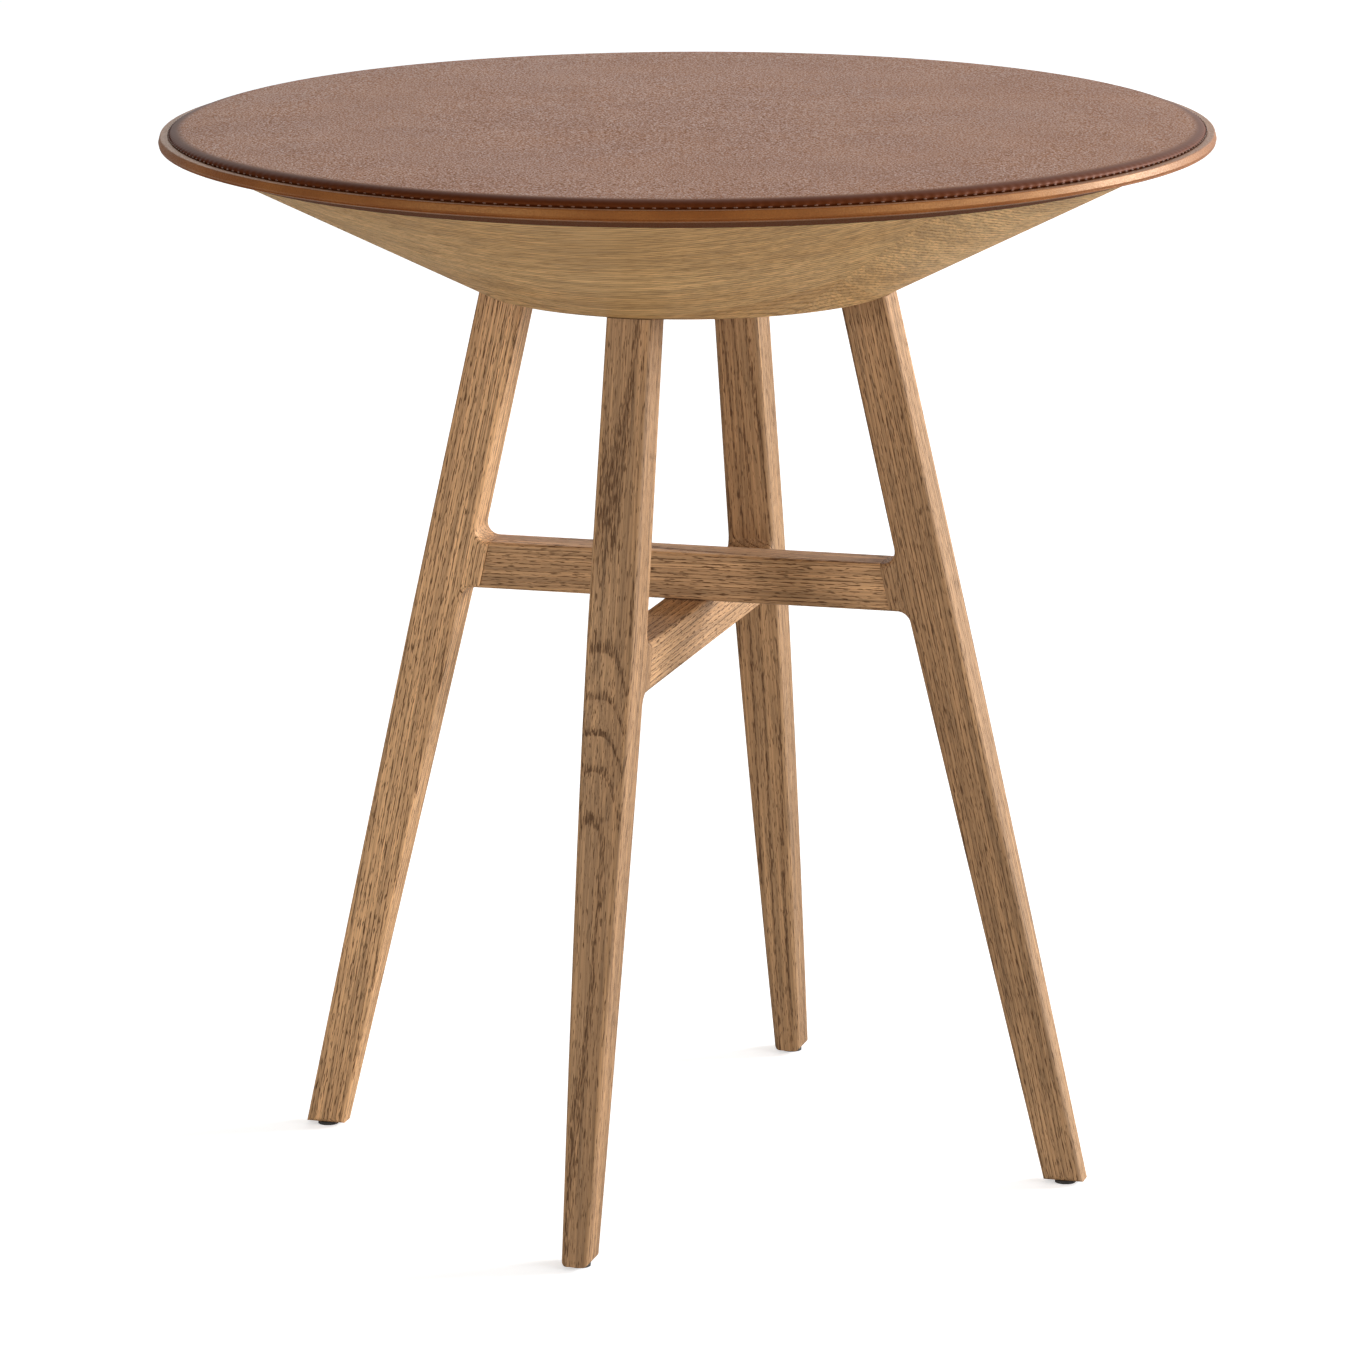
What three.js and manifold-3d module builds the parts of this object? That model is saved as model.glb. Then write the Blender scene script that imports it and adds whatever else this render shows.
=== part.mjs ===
// A round bistro table: a padded leather top on a mitred oak cone, four splayed oak legs
// and two stretchers that cross. Millimetres, +Z up, origin on the floor under the middle.
// The left and right legs stand on the X axis, the front and back legs on the Y axis.

import * as THREE from "three";
import { mergeVertices } from "three/addons/utils/BufferGeometryUtils.js";
import Module from "manifold-3d";

const wasm = await Module();
wasm.setup();

// Clearances
const seatGap = 0.3; // between two pieces that touch, and round a piece in its hole
const overrun = 5; // how far a cutter runs past the face it opens
const weldDistance = 0.001; // points closer than this are one point

// Whole table
const tableHeight = 735; // floor to the middle of the leather top
const topDiameter = 720; // across the leather edge
const footRadius = 285; // axis to the outer face of a leg, at the floor
const crossingHeight = 401.5; // floor to the plane where the two stretchers meet

// Leather pad
const padCrown = 1.6; // rise of the middle over the shoulder
const padDepth = 5.6; // shoulder over the edge band
const padInset = 7; // edge of the top to the belly of the pad
const padTuck = 0.8; // how far the side is drawn in at the seam
const padShoulder = 4.6; // drop of the shoulder's curve
const padShoulderRun = 10; // reach of the shoulder's curve, inwards from the belly
const leatherThickness = 1.4;

// Edge band and the board that it wraps
const bandHeight = 8.6;
const bandReturn = 20; // flat of the band over and under the board, inside the rounded nose
const bossDepth = 11.9; // lower step of the board, which drops into the cone

// Oak cone
const coneHeight = 98.5;
const coneInset = 19; // edge of the top to the cone's upper edge
const coneRim = 41; // width of the cone's top face, from its edge to the board's boss
const coneBottomRadius = 144;
const coneWall = 29; // measured straight up through the sloping wall
const floorBore = 70; // radius of the hand hole in the middle of the cone's floor
const plugRadius = 80;
const plugDepth = 12;
const splineLength = 120; // down the slope
const splineWidth = 16; // across the mitre
const splineThickness = 6;

// Legs
const footWidth = 28; // radial, at the floor
const legWidth = 34; // radial, from the stretchers up
const footThickness = 19; // tangential, at the floor
const kneeThickness = 34; // tangential, at the stretchers
const headThickness = 32; // tangential, under the cone
const legArris = 4; // radius along the long edges
const soleArris = 4; // radius round the sole of the foot
const stubLength = 12; // shoulder that meets the stretcher, from the leg's inner face
const stubFillet = 9;

// Stretchers
const stretcherDepth = 33; // upright
const stretcherThickness = 32; // across
const stretcherArris = 4;
const dowelRadius = 4;
const dowelLength = 36;
const dowelPitch = 16; // between the two dowels of a joint

// Bolts that hold the legs under the cone
const boltRadius = 4;
const boltHeadRadius = 7.4;
const boltHeadHeight = 5.3;
const boltReach = 22; // into the leg
const washerRadius = 12;
const washerThickness = 1.6;
const insertRadius = 6;
const insertLength = 16;

// Screw and plug at the crossing
const crossingScrewRadius = 2.5;
const crossingHeadRadius = 4.8;
const crossingHeadDepth = 3;
const crossingScrewLength = 45;
const crossingPlugRadius = 6.5;
const crossingPlugDepth = 7;

// Clips that hold the top down on the cone
const clipLobe = 10; // radius of each round end
const clipPitch = 24; // between the two screws of a clip
const clipNeck = 11; // width of the waist
const clipThickness = 2.2;
const clipLand = 3; // from the edge of the cone's hollow to the clip's round end
const clipScrewRadius = 2;
const clipHeadRadius = 4.2;
const clipScrewLength = 14;

// Glides under the feet
const glideRadius = 7.5;
const glideThickness = 2.2;
const glideStemRadius = 2;
const glideStemLength = 12;

// Steps of the round shapes
const roundSides = 72; // round the table
const pegSides = 12; // round a dowel, screw or bolt
const hexSides = 6;
const noseSteps = 4;
const shoulderSteps = 4;
const arrisSteps = 3;
const filletSteps = 4;

// Shares, of the size that each line names
const crownShares = [0, 0.45, 0.8, 1]; // of the pad's radius
const legStationShares = [0.25, 0.5, 0.75]; // of the leg between its sole and its stub
const headStationShare = 0.5; // of the leg between its stub and its head
const swellPower = 1.4; // above 1 the leg fills out quickly over the foot
const filletLimitShare = 0.76; // of the stub's length
const chamferShare = 0.5; // of a peg's radius, at its end

// Heights, from the top down
const shoulderTop = tableHeight - padCrown;
const bandTop = shoulderTop - padDepth;
const bandBottom = bandTop - bandHeight;
const boardTop = bandTop - leatherThickness - seatGap;
const boardBottom = bandBottom + leatherThickness + seatGap;
const bossBottom = boardBottom - bossDepth;
const coneTop = bandBottom - seatGap;
const coneBottom = coneTop - coneHeight;
const rebateFloor = bossBottom - seatGap;
const coneFloorTop = coneBottom + coneWall;
const legTop = coneBottom - seatGap;
const soleHeight = glideThickness + seatGap;
const clipTop = rebateFloor;
const clipBottom = clipTop - clipThickness;
const upperStretcherBottom = crossingHeight + seatGap / 2;
const lowerStretcherBottom = crossingHeight - seatGap / 2 - stretcherDepth;
const crossingHead = lowerStretcherBottom + crossingPlugDepth + seatGap;

// Distances from the axis
const topRadius = topDiameter / 2;
const noseRadius = bandHeight / 2;
const noseCentre = topRadius - noseRadius;
const bandEnd = noseCentre - bandReturn;
const padRadius = topRadius - padInset;
const coneTopRadius = topRadius - coneInset;
const bossRadius = coneTopRadius - coneRim;
const rebateRadius = bossRadius + seatGap;
const coneRun = (coneTopRadius - coneBottomRadius) / coneHeight;
const coneLean = Math.atan(1 / coneRun);
const hollowTopRadius = coneBottomRadius + (rebateFloor - coneFloorTop) * coneRun;
const outerLean = (footRadius - coneBottomRadius) / coneBottom;
const lowerLean = outerLean + (legWidth - footWidth) / crossingHeight;
const boltCentre = outerFaceAt(legTop - insertLength / 2) - legWidth / 2;
const clipOuterScrew = hollowTopRadius + clipLand + clipLobe;
const clipInnerScrew = clipOuterScrew - clipPitch;
const glideCentre = outerFaceAt(soleHeight) - footWidth / 2;

// Finishes, from the photograph
const finishes = {
  padLeather: { color: 0x9a5f3f, roughness: 0.5, metalness: 0 },
  edgeLeather: { color: 0x7a4220, roughness: 0.4, metalness: 0 },
  foam: { color: 0xd9cfae, roughness: 0.95, metalness: 0 },
  plywood: { color: 0xb99368, roughness: 0.8, metalness: 0 },
  coneOak: { color: 0xbd9468, roughness: 0.55, metalness: 0 },
  legOak: { color: 0xa87a4a, roughness: 0.55, metalness: 0 },
  beech: { color: 0xcaa274, roughness: 0.7, metalness: 0 },
  steel: { color: 0xa9abad, roughness: 0.35, metalness: 0.9 },
  nylon: { color: 0x1f1b19, roughness: 0.6, metalness: 0 },
};

// Six times the volume inside a closed mesh, negative when its faces point inwards
function signedVolume(position, index) {
  const [a, b, c] = [new THREE.Vector3(), new THREE.Vector3(), new THREE.Vector3()];
  let total = 0;
  for (let i = 0; i < index.length; i += 3) {
    a.fromBufferAttribute(position, index[i]);
    b.fromBufferAttribute(position, index[i + 1]);
    c.fromBufferAttribute(position, index[i + 2]);
    total += a.dot(b.cross(c));
  }
  return total;
}

// The same geometry as one closed mesh: shared vertices, no flat triangles, faces outwards
function closed(geometry) {
  const bare = geometry.clone();
  bare.deleteAttribute("normal");
  bare.deleteAttribute("uv");
  bare.clearGroups();
  const merged = mergeVertices(bare, weldDistance);
  const kept = [];
  const index = merged.index.array;
  for (let i = 0; i < index.length; i += 3) {
    const [a, b, c] = [index[i], index[i + 1], index[i + 2]];
    if (a !== b && b !== c && c !== a) {
      kept.push(a, b, c);
    }
  }
  if (signedVolume(merged.attributes.position, kept) < 0) {
    kept.reverse();
  }
  merged.setIndex(kept);
  return merged;
}

function solid(geometry) {
  const mesh = closed(geometry);
  return new wasm.Manifold(new wasm.Mesh({
    numProp: 3,
    vertProperties: new Float32Array(mesh.attributes.position.array),
    triVerts: new Uint32Array(mesh.index.array),
  }));
}

function geometryOf(manifold) {
  const mesh = manifold.getMesh();
  const geometry = new THREE.BufferGeometry();
  geometry.setAttribute("position", new THREE.BufferAttribute(new Float32Array(mesh.vertProperties), 3));
  geometry.setIndex(Array.from(mesh.triVerts));
  return geometry;
}

function cut(geometry, ...cutters) {
  let body = solid(geometry);
  for (const cutter of cutters) {
    body = body.subtract(solid(cutter));
  }
  return geometryOf(body);
}

function join(geometry, ...others) {
  let body = solid(geometry);
  for (const other of others) {
    body = body.add(solid(other));
  }
  return geometryOf(body);
}

// A turned piece from [radius, height] points
function turned(profile, sides) {
  const points = profile.map(([radius, height]) => new THREE.Vector2(radius, height));
  return closed(new THREE.LatheGeometry(points, sides).rotateX(Math.PI / 2));
}

// A turned ring: its profile closes on itself
function turnedRing(profile, sides) {
  return turned([...profile, profile[0]], sides);
}

// A round bar from one point to another
function rod(start, end, radius, sides = pegSides) {
  const along = new THREE.Vector3().subVectors(end, start);
  const bar = new THREE.CylinderGeometry(radius, radius, along.length(), sides);
  const turn = new THREE.Quaternion().setFromUnitVectors(new THREE.Vector3(0, 1, 0), along.clone().normalize());
  bar.applyQuaternion(turn);
  bar.translate(start.x + along.x / 2, start.y + along.y / 2, start.z + along.z / 2);
  return bar;
}

function uprightRod(x, bottom, top, radius, sides = pegSides) {
  return rod(new THREE.Vector3(x, 0, bottom), new THREE.Vector3(x, 0, top), radius, sides);
}

// Points of an oval corner, from one angle to another
function oval(centreX, centreZ, radiusX, radiusZ, from, to, steps) {
  const points = [];
  for (let step = 0; step <= steps; step += 1) {
    const angle = from + ((to - from) * step) / steps;
    points.push([centreX + radiusX * Math.cos(angle), centreZ + radiusZ * Math.sin(angle)]);
  }
  return points;
}

function arc(centreX, centreZ, radius, from, to, steps) {
  return oval(centreX, centreZ, radius, radius, from, to, steps);
}

// A closed body through rings that have the same number of points
function loft(rings) {
  const count = rings[0].length;
  const index = [];
  for (let r = 0; r + 1 < rings.length; r += 1) {
    for (let p = 0; p < count; p += 1) {
      const next = (p + 1) % count;
      const [a, b] = [r * count + p, r * count + next];
      index.push(a, b, b + count, a, b + count, a + count);
    }
  }
  const last = (rings.length - 1) * count;
  for (let p = 1; p + 1 < count; p += 1) {
    index.push(0, p + 1, p);
    index.push(last, last + p, last + p + 1);
  }
  const geometry = new THREE.BufferGeometry().setFromPoints(rings.flat());
  geometry.setIndex(index);
  return closed(geometry);
}

// The pad's upper surface, lowered by a skin of leather where the inside is wanted
function padProfile(skin) {
  const side = padRadius - skin;
  const run = padShoulderRun - skin;
  const drop = padShoulder - skin;
  const top = crownShares.map((share) => [
    share * (side - run),
    shoulderTop - skin + padCrown * (1 - share * share),
  ]);
  const corner = oval(side - run, shoulderTop - skin - drop, run, drop, Math.PI / 2, 0, shoulderSteps);
  return [...top, ...corner.slice(1)];
}

function leatherCover() {
  const bottom = bandTop + seatGap;
  const outside = padProfile(0);
  const inside = padProfile(leatherThickness);
  return turned([
    ...outside,
    [padRadius - padTuck, bottom],
    [padRadius - padTuck - leatherThickness, bottom],
    ...inside.reverse(),
  ], roundSides);
}

function foamPad() {
  const skin = leatherThickness + seatGap;
  const waist = padRadius - padTuck - skin;
  return turned([
    ...padProfile(skin),
    [waist, bandTop + seatGap],
    [bandEnd - seatGap, bandTop + seatGap],
    [bandEnd - seatGap, boardTop + seatGap],
    [0, boardTop + seatGap],
  ], roundSides);
}

function nose(radius) {
  return arc(noseCentre, bandBottom + noseRadius, radius, Math.PI / 2, -Math.PI / 2, noseSteps);
}

function edgeBand() {
  return turnedRing([
    [bandEnd, bandTop],
    ...nose(noseRadius),
    [bandEnd, bandBottom],
    [bandEnd, bandBottom + leatherThickness],
    ...nose(noseRadius - leatherThickness).reverse(),
    [bandEnd, bandTop - leatherThickness],
  ], roundSides);
}

function topBoard() {
  const board = turned([
    [0, boardTop],
    ...nose(noseRadius - leatherThickness - seatGap),
    [bossRadius, boardBottom],
    [bossRadius, bossBottom],
    [0, bossBottom],
  ], roundSides);
  return cut(board, ...fourRound(innerClipScrew(seatGap)));
}

// Four copies of a shape, one over each leg
function fourRound(geometry) {
  return [0, 1, 2, 3].map((quarter) => geometry.clone().rotateZ((quarter * Math.PI) / 2));
}

// The cone's section, from its sharp lower edge round to the seat of the floor plug
function coneRing() {
  return turnedRing([
    [coneBottomRadius, coneBottom],
    [coneTopRadius, coneTop],
    [rebateRadius, coneTop],
    [rebateRadius, rebateFloor],
    [hollowTopRadius, rebateFloor],
    [coneBottomRadius, coneFloorTop],
    [floorBore, coneFloorTop],
    [floorBore, coneBottom + plugDepth + seatGap],
    [plugRadius + seatGap, coneBottom + plugDepth + seatGap],
    [plugRadius + seatGap, coneBottom],
  ], roundSides);
}

// A quarter of the plan, square-cornered at the axis, less half the gap at each mitre
function quarterWedge() {
  const apex = (seatGap / 2) * Math.SQRT2;
  const reach = coneTopRadius + overrun;
  const plan = new THREE.Shape([
    new THREE.Vector2(apex, 0),
    new THREE.Vector2(reach, reach - apex),
    new THREE.Vector2(reach * 2, 0),
    new THREE.Vector2(reach, apex - reach),
  ].reverse());
  const height = coneHeight + overrun * 2;
  return new THREE.ExtrudeGeometry(plan, { depth: height, bevelEnabled: false })
    .translate(0, 0, coneBottom - overrun);
}

// The plywood tongue in a mitre, or the slot for it
function mitreTongue(clearance) {
  const centre = (coneBottomRadius + hollowTopRadius) / 2;
  const height = coneBottom + (centre - coneBottomRadius) / coneRun + coneWall / 2;
  return new THREE.BoxGeometry(
    splineLength + clearance * 2,
    splineWidth + clearance * 2,
    splineThickness + clearance * 2,
  ).rotateY(-coneLean).translate(centre, 0, height).rotateZ(Math.PI / 4);
}

// A clip's round-ended outline, or the recess for it
function clipBlank(lobe, neck, bottom, top) {
  return join(
    uprightRod(clipOuterScrew, bottom, top, lobe),
    uprightRod(clipInnerScrew, bottom, top, lobe),
    new THREE.BoxGeometry(clipPitch, neck, top - bottom)
      .translate((clipOuterScrew + clipInnerScrew) / 2, 0, (bottom + top) / 2),
  );
}

// A countersunk screw from its head at height 0 down, or the hole for it
function countersunk(headRadius, radius, headDepth, length, clearance) {
  return [
    [0, clearance],
    [headRadius + clearance, clearance],
    [headRadius + clearance, 0],
    [radius + clearance, -headDepth],
    [radius + clearance, -length + radius],
    [0, -length - clearance],
  ];
}

function clipScrew(clearance) {
  return turned(
    countersunk(clipHeadRadius, clipScrewRadius, clipThickness, clipScrewLength, clearance),
    pegSides,
  );
}

function outerClipScrew(clearance) {
  return clipScrew(clearance).translate(clipOuterScrew, 0, clipTop);
}

function innerClipScrew(clearance) {
  return clipScrew(clearance).rotateX(Math.PI).translate(clipInnerScrew, 0, clipBottom);
}

function topClip() {
  return cut(
    clipBlank(clipLobe, clipNeck, clipBottom, clipTop),
    outerClipScrew(seatGap),
    innerClipScrew(seatGap),
  );
}

function coneSegment() {
  const quarter = geometryOf(solid(coneRing()).intersect(solid(quarterWedge())));
  const slot = mitreTongue(seatGap);
  const recess = clipBlank(clipLobe + seatGap, clipNeck, clipBottom - seatGap, clipTop + overrun);
  const boltHole = uprightRod(boltCentre, coneBottom - overrun, coneFloorTop + overrun, boltRadius + seatGap);
  return cut(
    quarter,
    slot,
    slot.clone().rotateZ(-Math.PI / 2),
    recess,
    outerClipScrew(seatGap),
    boltHole,
  );
}

function floorPlug() {
  return turned([
    [0, coneBottom],
    [plugRadius, coneBottom],
    [plugRadius, coneBottom + plugDepth],
    [0, coneBottom + plugDepth],
  ], roundSides);
}

// A leg stands at +X: these give its faces' distance from the axis at a height
function outerFaceAt(height) {
  return footRadius - outerLean * height;
}

function innerFaceAt(height) {
  return outerFaceAt(height) - THREE.MathUtils.mapLinear(
    Math.min(height, crossingHeight),
    0,
    crossingHeight,
    footWidth,
    legWidth,
  );
}

function jointFaceAt(height) {
  return outerFaceAt(height) - legWidth - stubLength;
}

function legThicknessAt(height) {
  if (height < crossingHeight) {
    const fill = 1 - (1 - height / crossingHeight) ** swellPower;
    return THREE.MathUtils.lerp(footThickness, kneeThickness, fill);
  }
  const rise = (height - crossingHeight) / (legTop - crossingHeight);
  return THREE.MathUtils.lerp(kneeThickness, headThickness, rise);
}

// One ring of the leg: outer and inner are [distance, height] points on its two faces, and
// the directions point out of the wood there
function legSection({ outer, outerWay, inner, innerWay, inset = 0 }) {
  const corners = [
    { face: outer, way: outerWay, side: 1, rising: true },
    { face: inner, way: innerWay, side: 1, rising: false },
    { face: inner, way: innerWay, side: -1, rising: true },
    { face: outer, way: outerWay, side: -1, rising: false },
  ];
  const ring = [];
  for (const { face, way, side, rising } of corners) {
    for (let step = 0; step <= arrisSteps; step += 1) {
      const share = rising ? step / arrisSteps : 1 - step / arrisSteps;
      const angle = (share * Math.PI) / 2;
      const depth = inset + legArris * (1 - Math.cos(angle));
      const height = face[1] - way[1] * depth;
      const half = legThicknessAt(height) / 2 - inset - legArris * (1 - Math.sin(angle));
      ring.push(new THREE.Vector3(face[0] - way[0] * depth, side * half, height));
    }
  }
  return ring;
}

function plainSection(height, inset = 0) {
  return legSection({
    outer: [outerFaceAt(height), height],
    outerWay: [1, 0],
    inner: [innerFaceAt(height), height],
    innerWay: [-1, 0],
    inset,
  });
}

// The hollow corner between the leg's inner face and the stub, as [point, way] pairs.
// side is -1 under the stub and 1 over it.
function filletPath(face, side) {
  const radius = Math.min(stubFillet, stubLength * filletLimitShare);
  const lean = side < 0 ? lowerLean : outerLean;
  const slant = Math.hypot(1, lean);
  const centreZ = face + side * radius;
  const centreX = innerFaceAt(centreZ) - radius * slant;
  const legAngle = Math.atan(lean);
  const stubAngle = (-side * Math.PI) / 2;
  const points = arc(centreX, centreZ, radius, legAngle, stubAngle, filletSteps);
  return points.map((point) => ({
    inner: point,
    innerWay: [(centreX - point[0]) / radius, (centreZ - point[1]) / radius],
  }));
}

// Half of the stub, from the leg's face to the joint, with rings that share the outer face evenly
function stubSections(face, side, middle) {
  const path = filletPath(face, side);
  path.push({ inner: [jointFaceAt(face), face], innerWay: [-side * outerLean, side] });
  const start = path[0].inner[1];
  return path.map(({ inner, innerWay }, place) => {
    const height = THREE.MathUtils.lerp(start, middle, place / path.length);
    return legSection({ outer: [outerFaceAt(height), height], outerWay: [1, 0], inner, innerWay });
  });
}

function soleSections() {
  return arc(0, 0, soleArris, Math.PI / 2, 0, arrisSteps).map(([inwards, upwards]) => (
    plainSection(soleHeight + soleArris - upwards, soleArris - inwards)
  ));
}

// Centres of the two dowels of a joint, on the joint's face
function dowelHeights(stubMiddle) {
  return [stubMiddle - dowelPitch / 2, stubMiddle + dowelPitch / 2];
}

function dowel(height, clearance) {
  const centre = jointFaceAt(height);
  const reach = dowelLength / 2 + clearance;
  return rod(
    new THREE.Vector3(centre - reach, 0, height),
    new THREE.Vector3(centre + reach, 0, height),
    dowelRadius + clearance,
  );
}

function leg(stubBottom) {
  const stubTop = stubBottom + stretcherDepth;
  const middle = (stubBottom + stubTop) / 2;
  const sole = soleSections();
  const under = stubSections(stubBottom, -1, middle);
  const over = stubSections(stubTop, 1, middle).reverse();
  const start = soleHeight + soleArris;
  const shin = filletPath(stubBottom, -1)[0].inner[1];
  const thigh = filletPath(stubTop, 1)[0].inner[1];
  const body = loft([
    ...sole,
    ...legStationShares.map((share) => plainSection(THREE.MathUtils.lerp(start, shin, share))),
    ...under,
    ...over,
    plainSection(THREE.MathUtils.lerp(thigh, legTop, headStationShare)),
    plainSection(legTop),
  ]);
  return cut(
    body,
    ...dowelHeights(middle).map((height) => dowel(height, seatGap)),
    uprightRod(boltCentre, legTop - insertLength - seatGap, legTop + overrun, insertRadius + seatGap),
    uprightRod(boltCentre, legTop - boltReach - overrun, legTop + overrun, boltRadius + seatGap),
    uprightRod(
      glideCentre,
      soleHeight - overrun,
      glideThickness + glideStemLength + seatGap,
      glideStemRadius + seatGap,
    ),
  );
}

function footGlide() {
  return turned([
    [0, 0],
    [glideRadius, 0],
    [glideRadius, glideThickness],
    [glideStemRadius, glideThickness],
    [glideStemRadius, glideThickness + glideStemLength],
    [0, glideThickness + glideStemLength],
  ], pegSides);
}

// The screw that ties the stretchers together, set in a counterbore under the lower one
function crossingScrew(clearance) {
  return turned(
    countersunk(
      crossingHeadRadius,
      crossingScrewRadius,
      crossingHeadDepth,
      crossingScrewLength,
      clearance,
    ),
    pegSides,
  ).rotateX(Math.PI).translate(0, 0, crossingHead);
}

function crossingPlug(clearance) {
  return uprightRod(
    0,
    lowerStretcherBottom - clearance,
    lowerStretcherBottom + crossingPlugDepth,
    crossingPlugRadius + clearance,
  );
}

// One end of a stretcher, cut to the slant of the joint; side is 1 at +X and -1 at -X
function stretcherEnd(bottom, side) {
  const half = stretcherThickness / 2 - stretcherArris;
  const corners = [
    [half, bottom + stretcherDepth - stretcherArris, 0],
    [-half, bottom + stretcherDepth - stretcherArris, Math.PI / 2],
    [-half, bottom + stretcherArris, Math.PI],
    [half, bottom + stretcherArris, Math.PI * 1.5],
  ];
  const outline = corners.flatMap(([y, z, from]) => (
    arc(y, z, stretcherArris, from, from + Math.PI / 2, arrisSteps)
  ));
  return outline.map(([y, z]) => new THREE.Vector3(side * (jointFaceAt(z) - seatGap), y, z));
}

function stretcher(bottom) {
  const bar = loft([stretcherEnd(bottom, -1), stretcherEnd(bottom, 1)]);
  const holes = dowelHeights(bottom + stretcherDepth / 2).map((height) => dowel(height, seatGap));
  return cut(
    bar,
    ...holes,
    ...holes.map((hole) => hole.clone().rotateZ(Math.PI)),
    crossingScrew(seatGap),
    crossingPlug(seatGap),
  );
}

function legWasher() {
  const bottom = coneFloorTop + seatGap;
  return turnedRing([
    [boltRadius + seatGap, bottom],
    [washerRadius, bottom],
    [washerRadius, bottom + washerThickness],
    [boltRadius + seatGap, bottom + washerThickness],
  ], pegSides).translate(boltCentre, 0, 0);
}

function legBolt() {
  const under = coneFloorTop + seatGap * 2 + washerThickness;
  const shank = turned([
    [0, under + boltHeadHeight / 2],
    [boltRadius, under + boltHeadHeight / 2],
    [boltRadius, legTop - boltReach + boltRadius * chamferShare],
    [boltRadius * chamferShare, legTop - boltReach],
    [0, legTop - boltReach],
  ], pegSides).translate(boltCentre, 0, 0);
  return join(shank, uprightRod(boltCentre, under, under + boltHeadHeight, boltHeadRadius, hexSides));
}

function legInsert() {
  return turnedRing([
    [boltRadius + seatGap, legTop - insertLength],
    [insertRadius, legTop - insertLength],
    [insertRadius, legTop],
    [boltRadius + seatGap, legTop],
  ], pegSides).translate(boltCentre, 0, 0);
}

// A named mesh with a material of its own
function piece(name, geometry, finish, azimuth = 0) {
  const mesh = new THREE.Mesh(geometry, new THREE.MeshStandardMaterial({ ...finish, name }));
  mesh.name = name;
  mesh.rotation.z = azimuth;
  return mesh;
}

// Four pieces from one shape, over the right, back, left and front legs
const legSides = ["right", "back", "left", "front"];

function fourPieces(name, geometry, finish) {
  return legSides.map((side, quarter) => (
    piece(`${name}_${side}`, geometry.clone(), finish, (quarter * Math.PI) / 2)
  ));
}

const top = new THREE.Group();
top.add(
  piece("leather_cover", leatherCover(), finishes.padLeather),
  piece("foam_pad", foamPad(), finishes.foam),
  piece("leather_edge_band", edgeBand(), finishes.edgeLeather),
  piece("top_board", topBoard(), finishes.plywood),
);

const cone = new THREE.Group();
cone.add(
  ...fourPieces("cone_segment", coneSegment(), finishes.coneOak),
  ...fourPieces("mitre_spline", closed(mitreTongue(0)), finishes.plywood),
  piece("cone_floor_plug", floorPlug(), finishes.coneOak),
  ...fourPieces("top_clip", topClip(), finishes.steel),
  ...fourPieces("clip_screw_outer", outerClipScrew(0), finishes.steel),
  ...fourPieces("clip_screw_inner", innerClipScrew(0), finishes.steel),
);

const legs = new THREE.Group();
const sideLeg = leg(upperStretcherBottom);
const endLeg = leg(lowerStretcherBottom);
legSides.forEach((side, quarter) => {
  const shape = quarter % 2 === 0 ? sideLeg : endLeg;
  legs.add(piece(`leg_${side}`, shape.clone(), finishes.legOak, (quarter * Math.PI) / 2));
});
legs.add(
  ...fourPieces("leg_insert", legInsert(), finishes.steel),
  ...fourPieces("leg_bolt", legBolt(), finishes.steel),
  ...fourPieces("leg_washer", legWasher(), finishes.steel),
  ...fourPieces("foot_glide", footGlide().translate(glideCentre, 0, 0), finishes.nylon),
);

const stretchers = new THREE.Group();
stretchers.add(
  piece("stretcher_upper", stretcher(upperStretcherBottom), finishes.legOak),
  piece("stretcher_lower", stretcher(lowerStretcherBottom), finishes.legOak, Math.PI / 2),
  piece("crossing_screw", crossingScrew(0), finishes.steel),
  piece("crossing_plug", closed(crossingPlug(0)), finishes.legOak),
);
legSides.forEach((side, quarter) => {
  const bottom = quarter % 2 === 0 ? upperStretcherBottom : lowerStretcherBottom;
  const [low, high] = dowelHeights(bottom + stretcherDepth / 2);
  const azimuth = (quarter * Math.PI) / 2;
  stretchers.add(
    piece(`dowel_low_${side}`, closed(dowel(low, 0)), finishes.beech, azimuth),
    piece(`dowel_high_${side}`, closed(dowel(high, 0)), finishes.beech, azimuth),
  );
});

const table = new THREE.Group();
table.add(top, cone, legs, stretchers);

export default table;
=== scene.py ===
"""A round oak bistro table with a padded leather top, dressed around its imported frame."""

import logging
import math
from collections.abc import Callable
from dataclasses import dataclass, field, replace
from enum import Enum

import bmesh
import bpy
from mathutils import Matrix, Vector, noise


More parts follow.
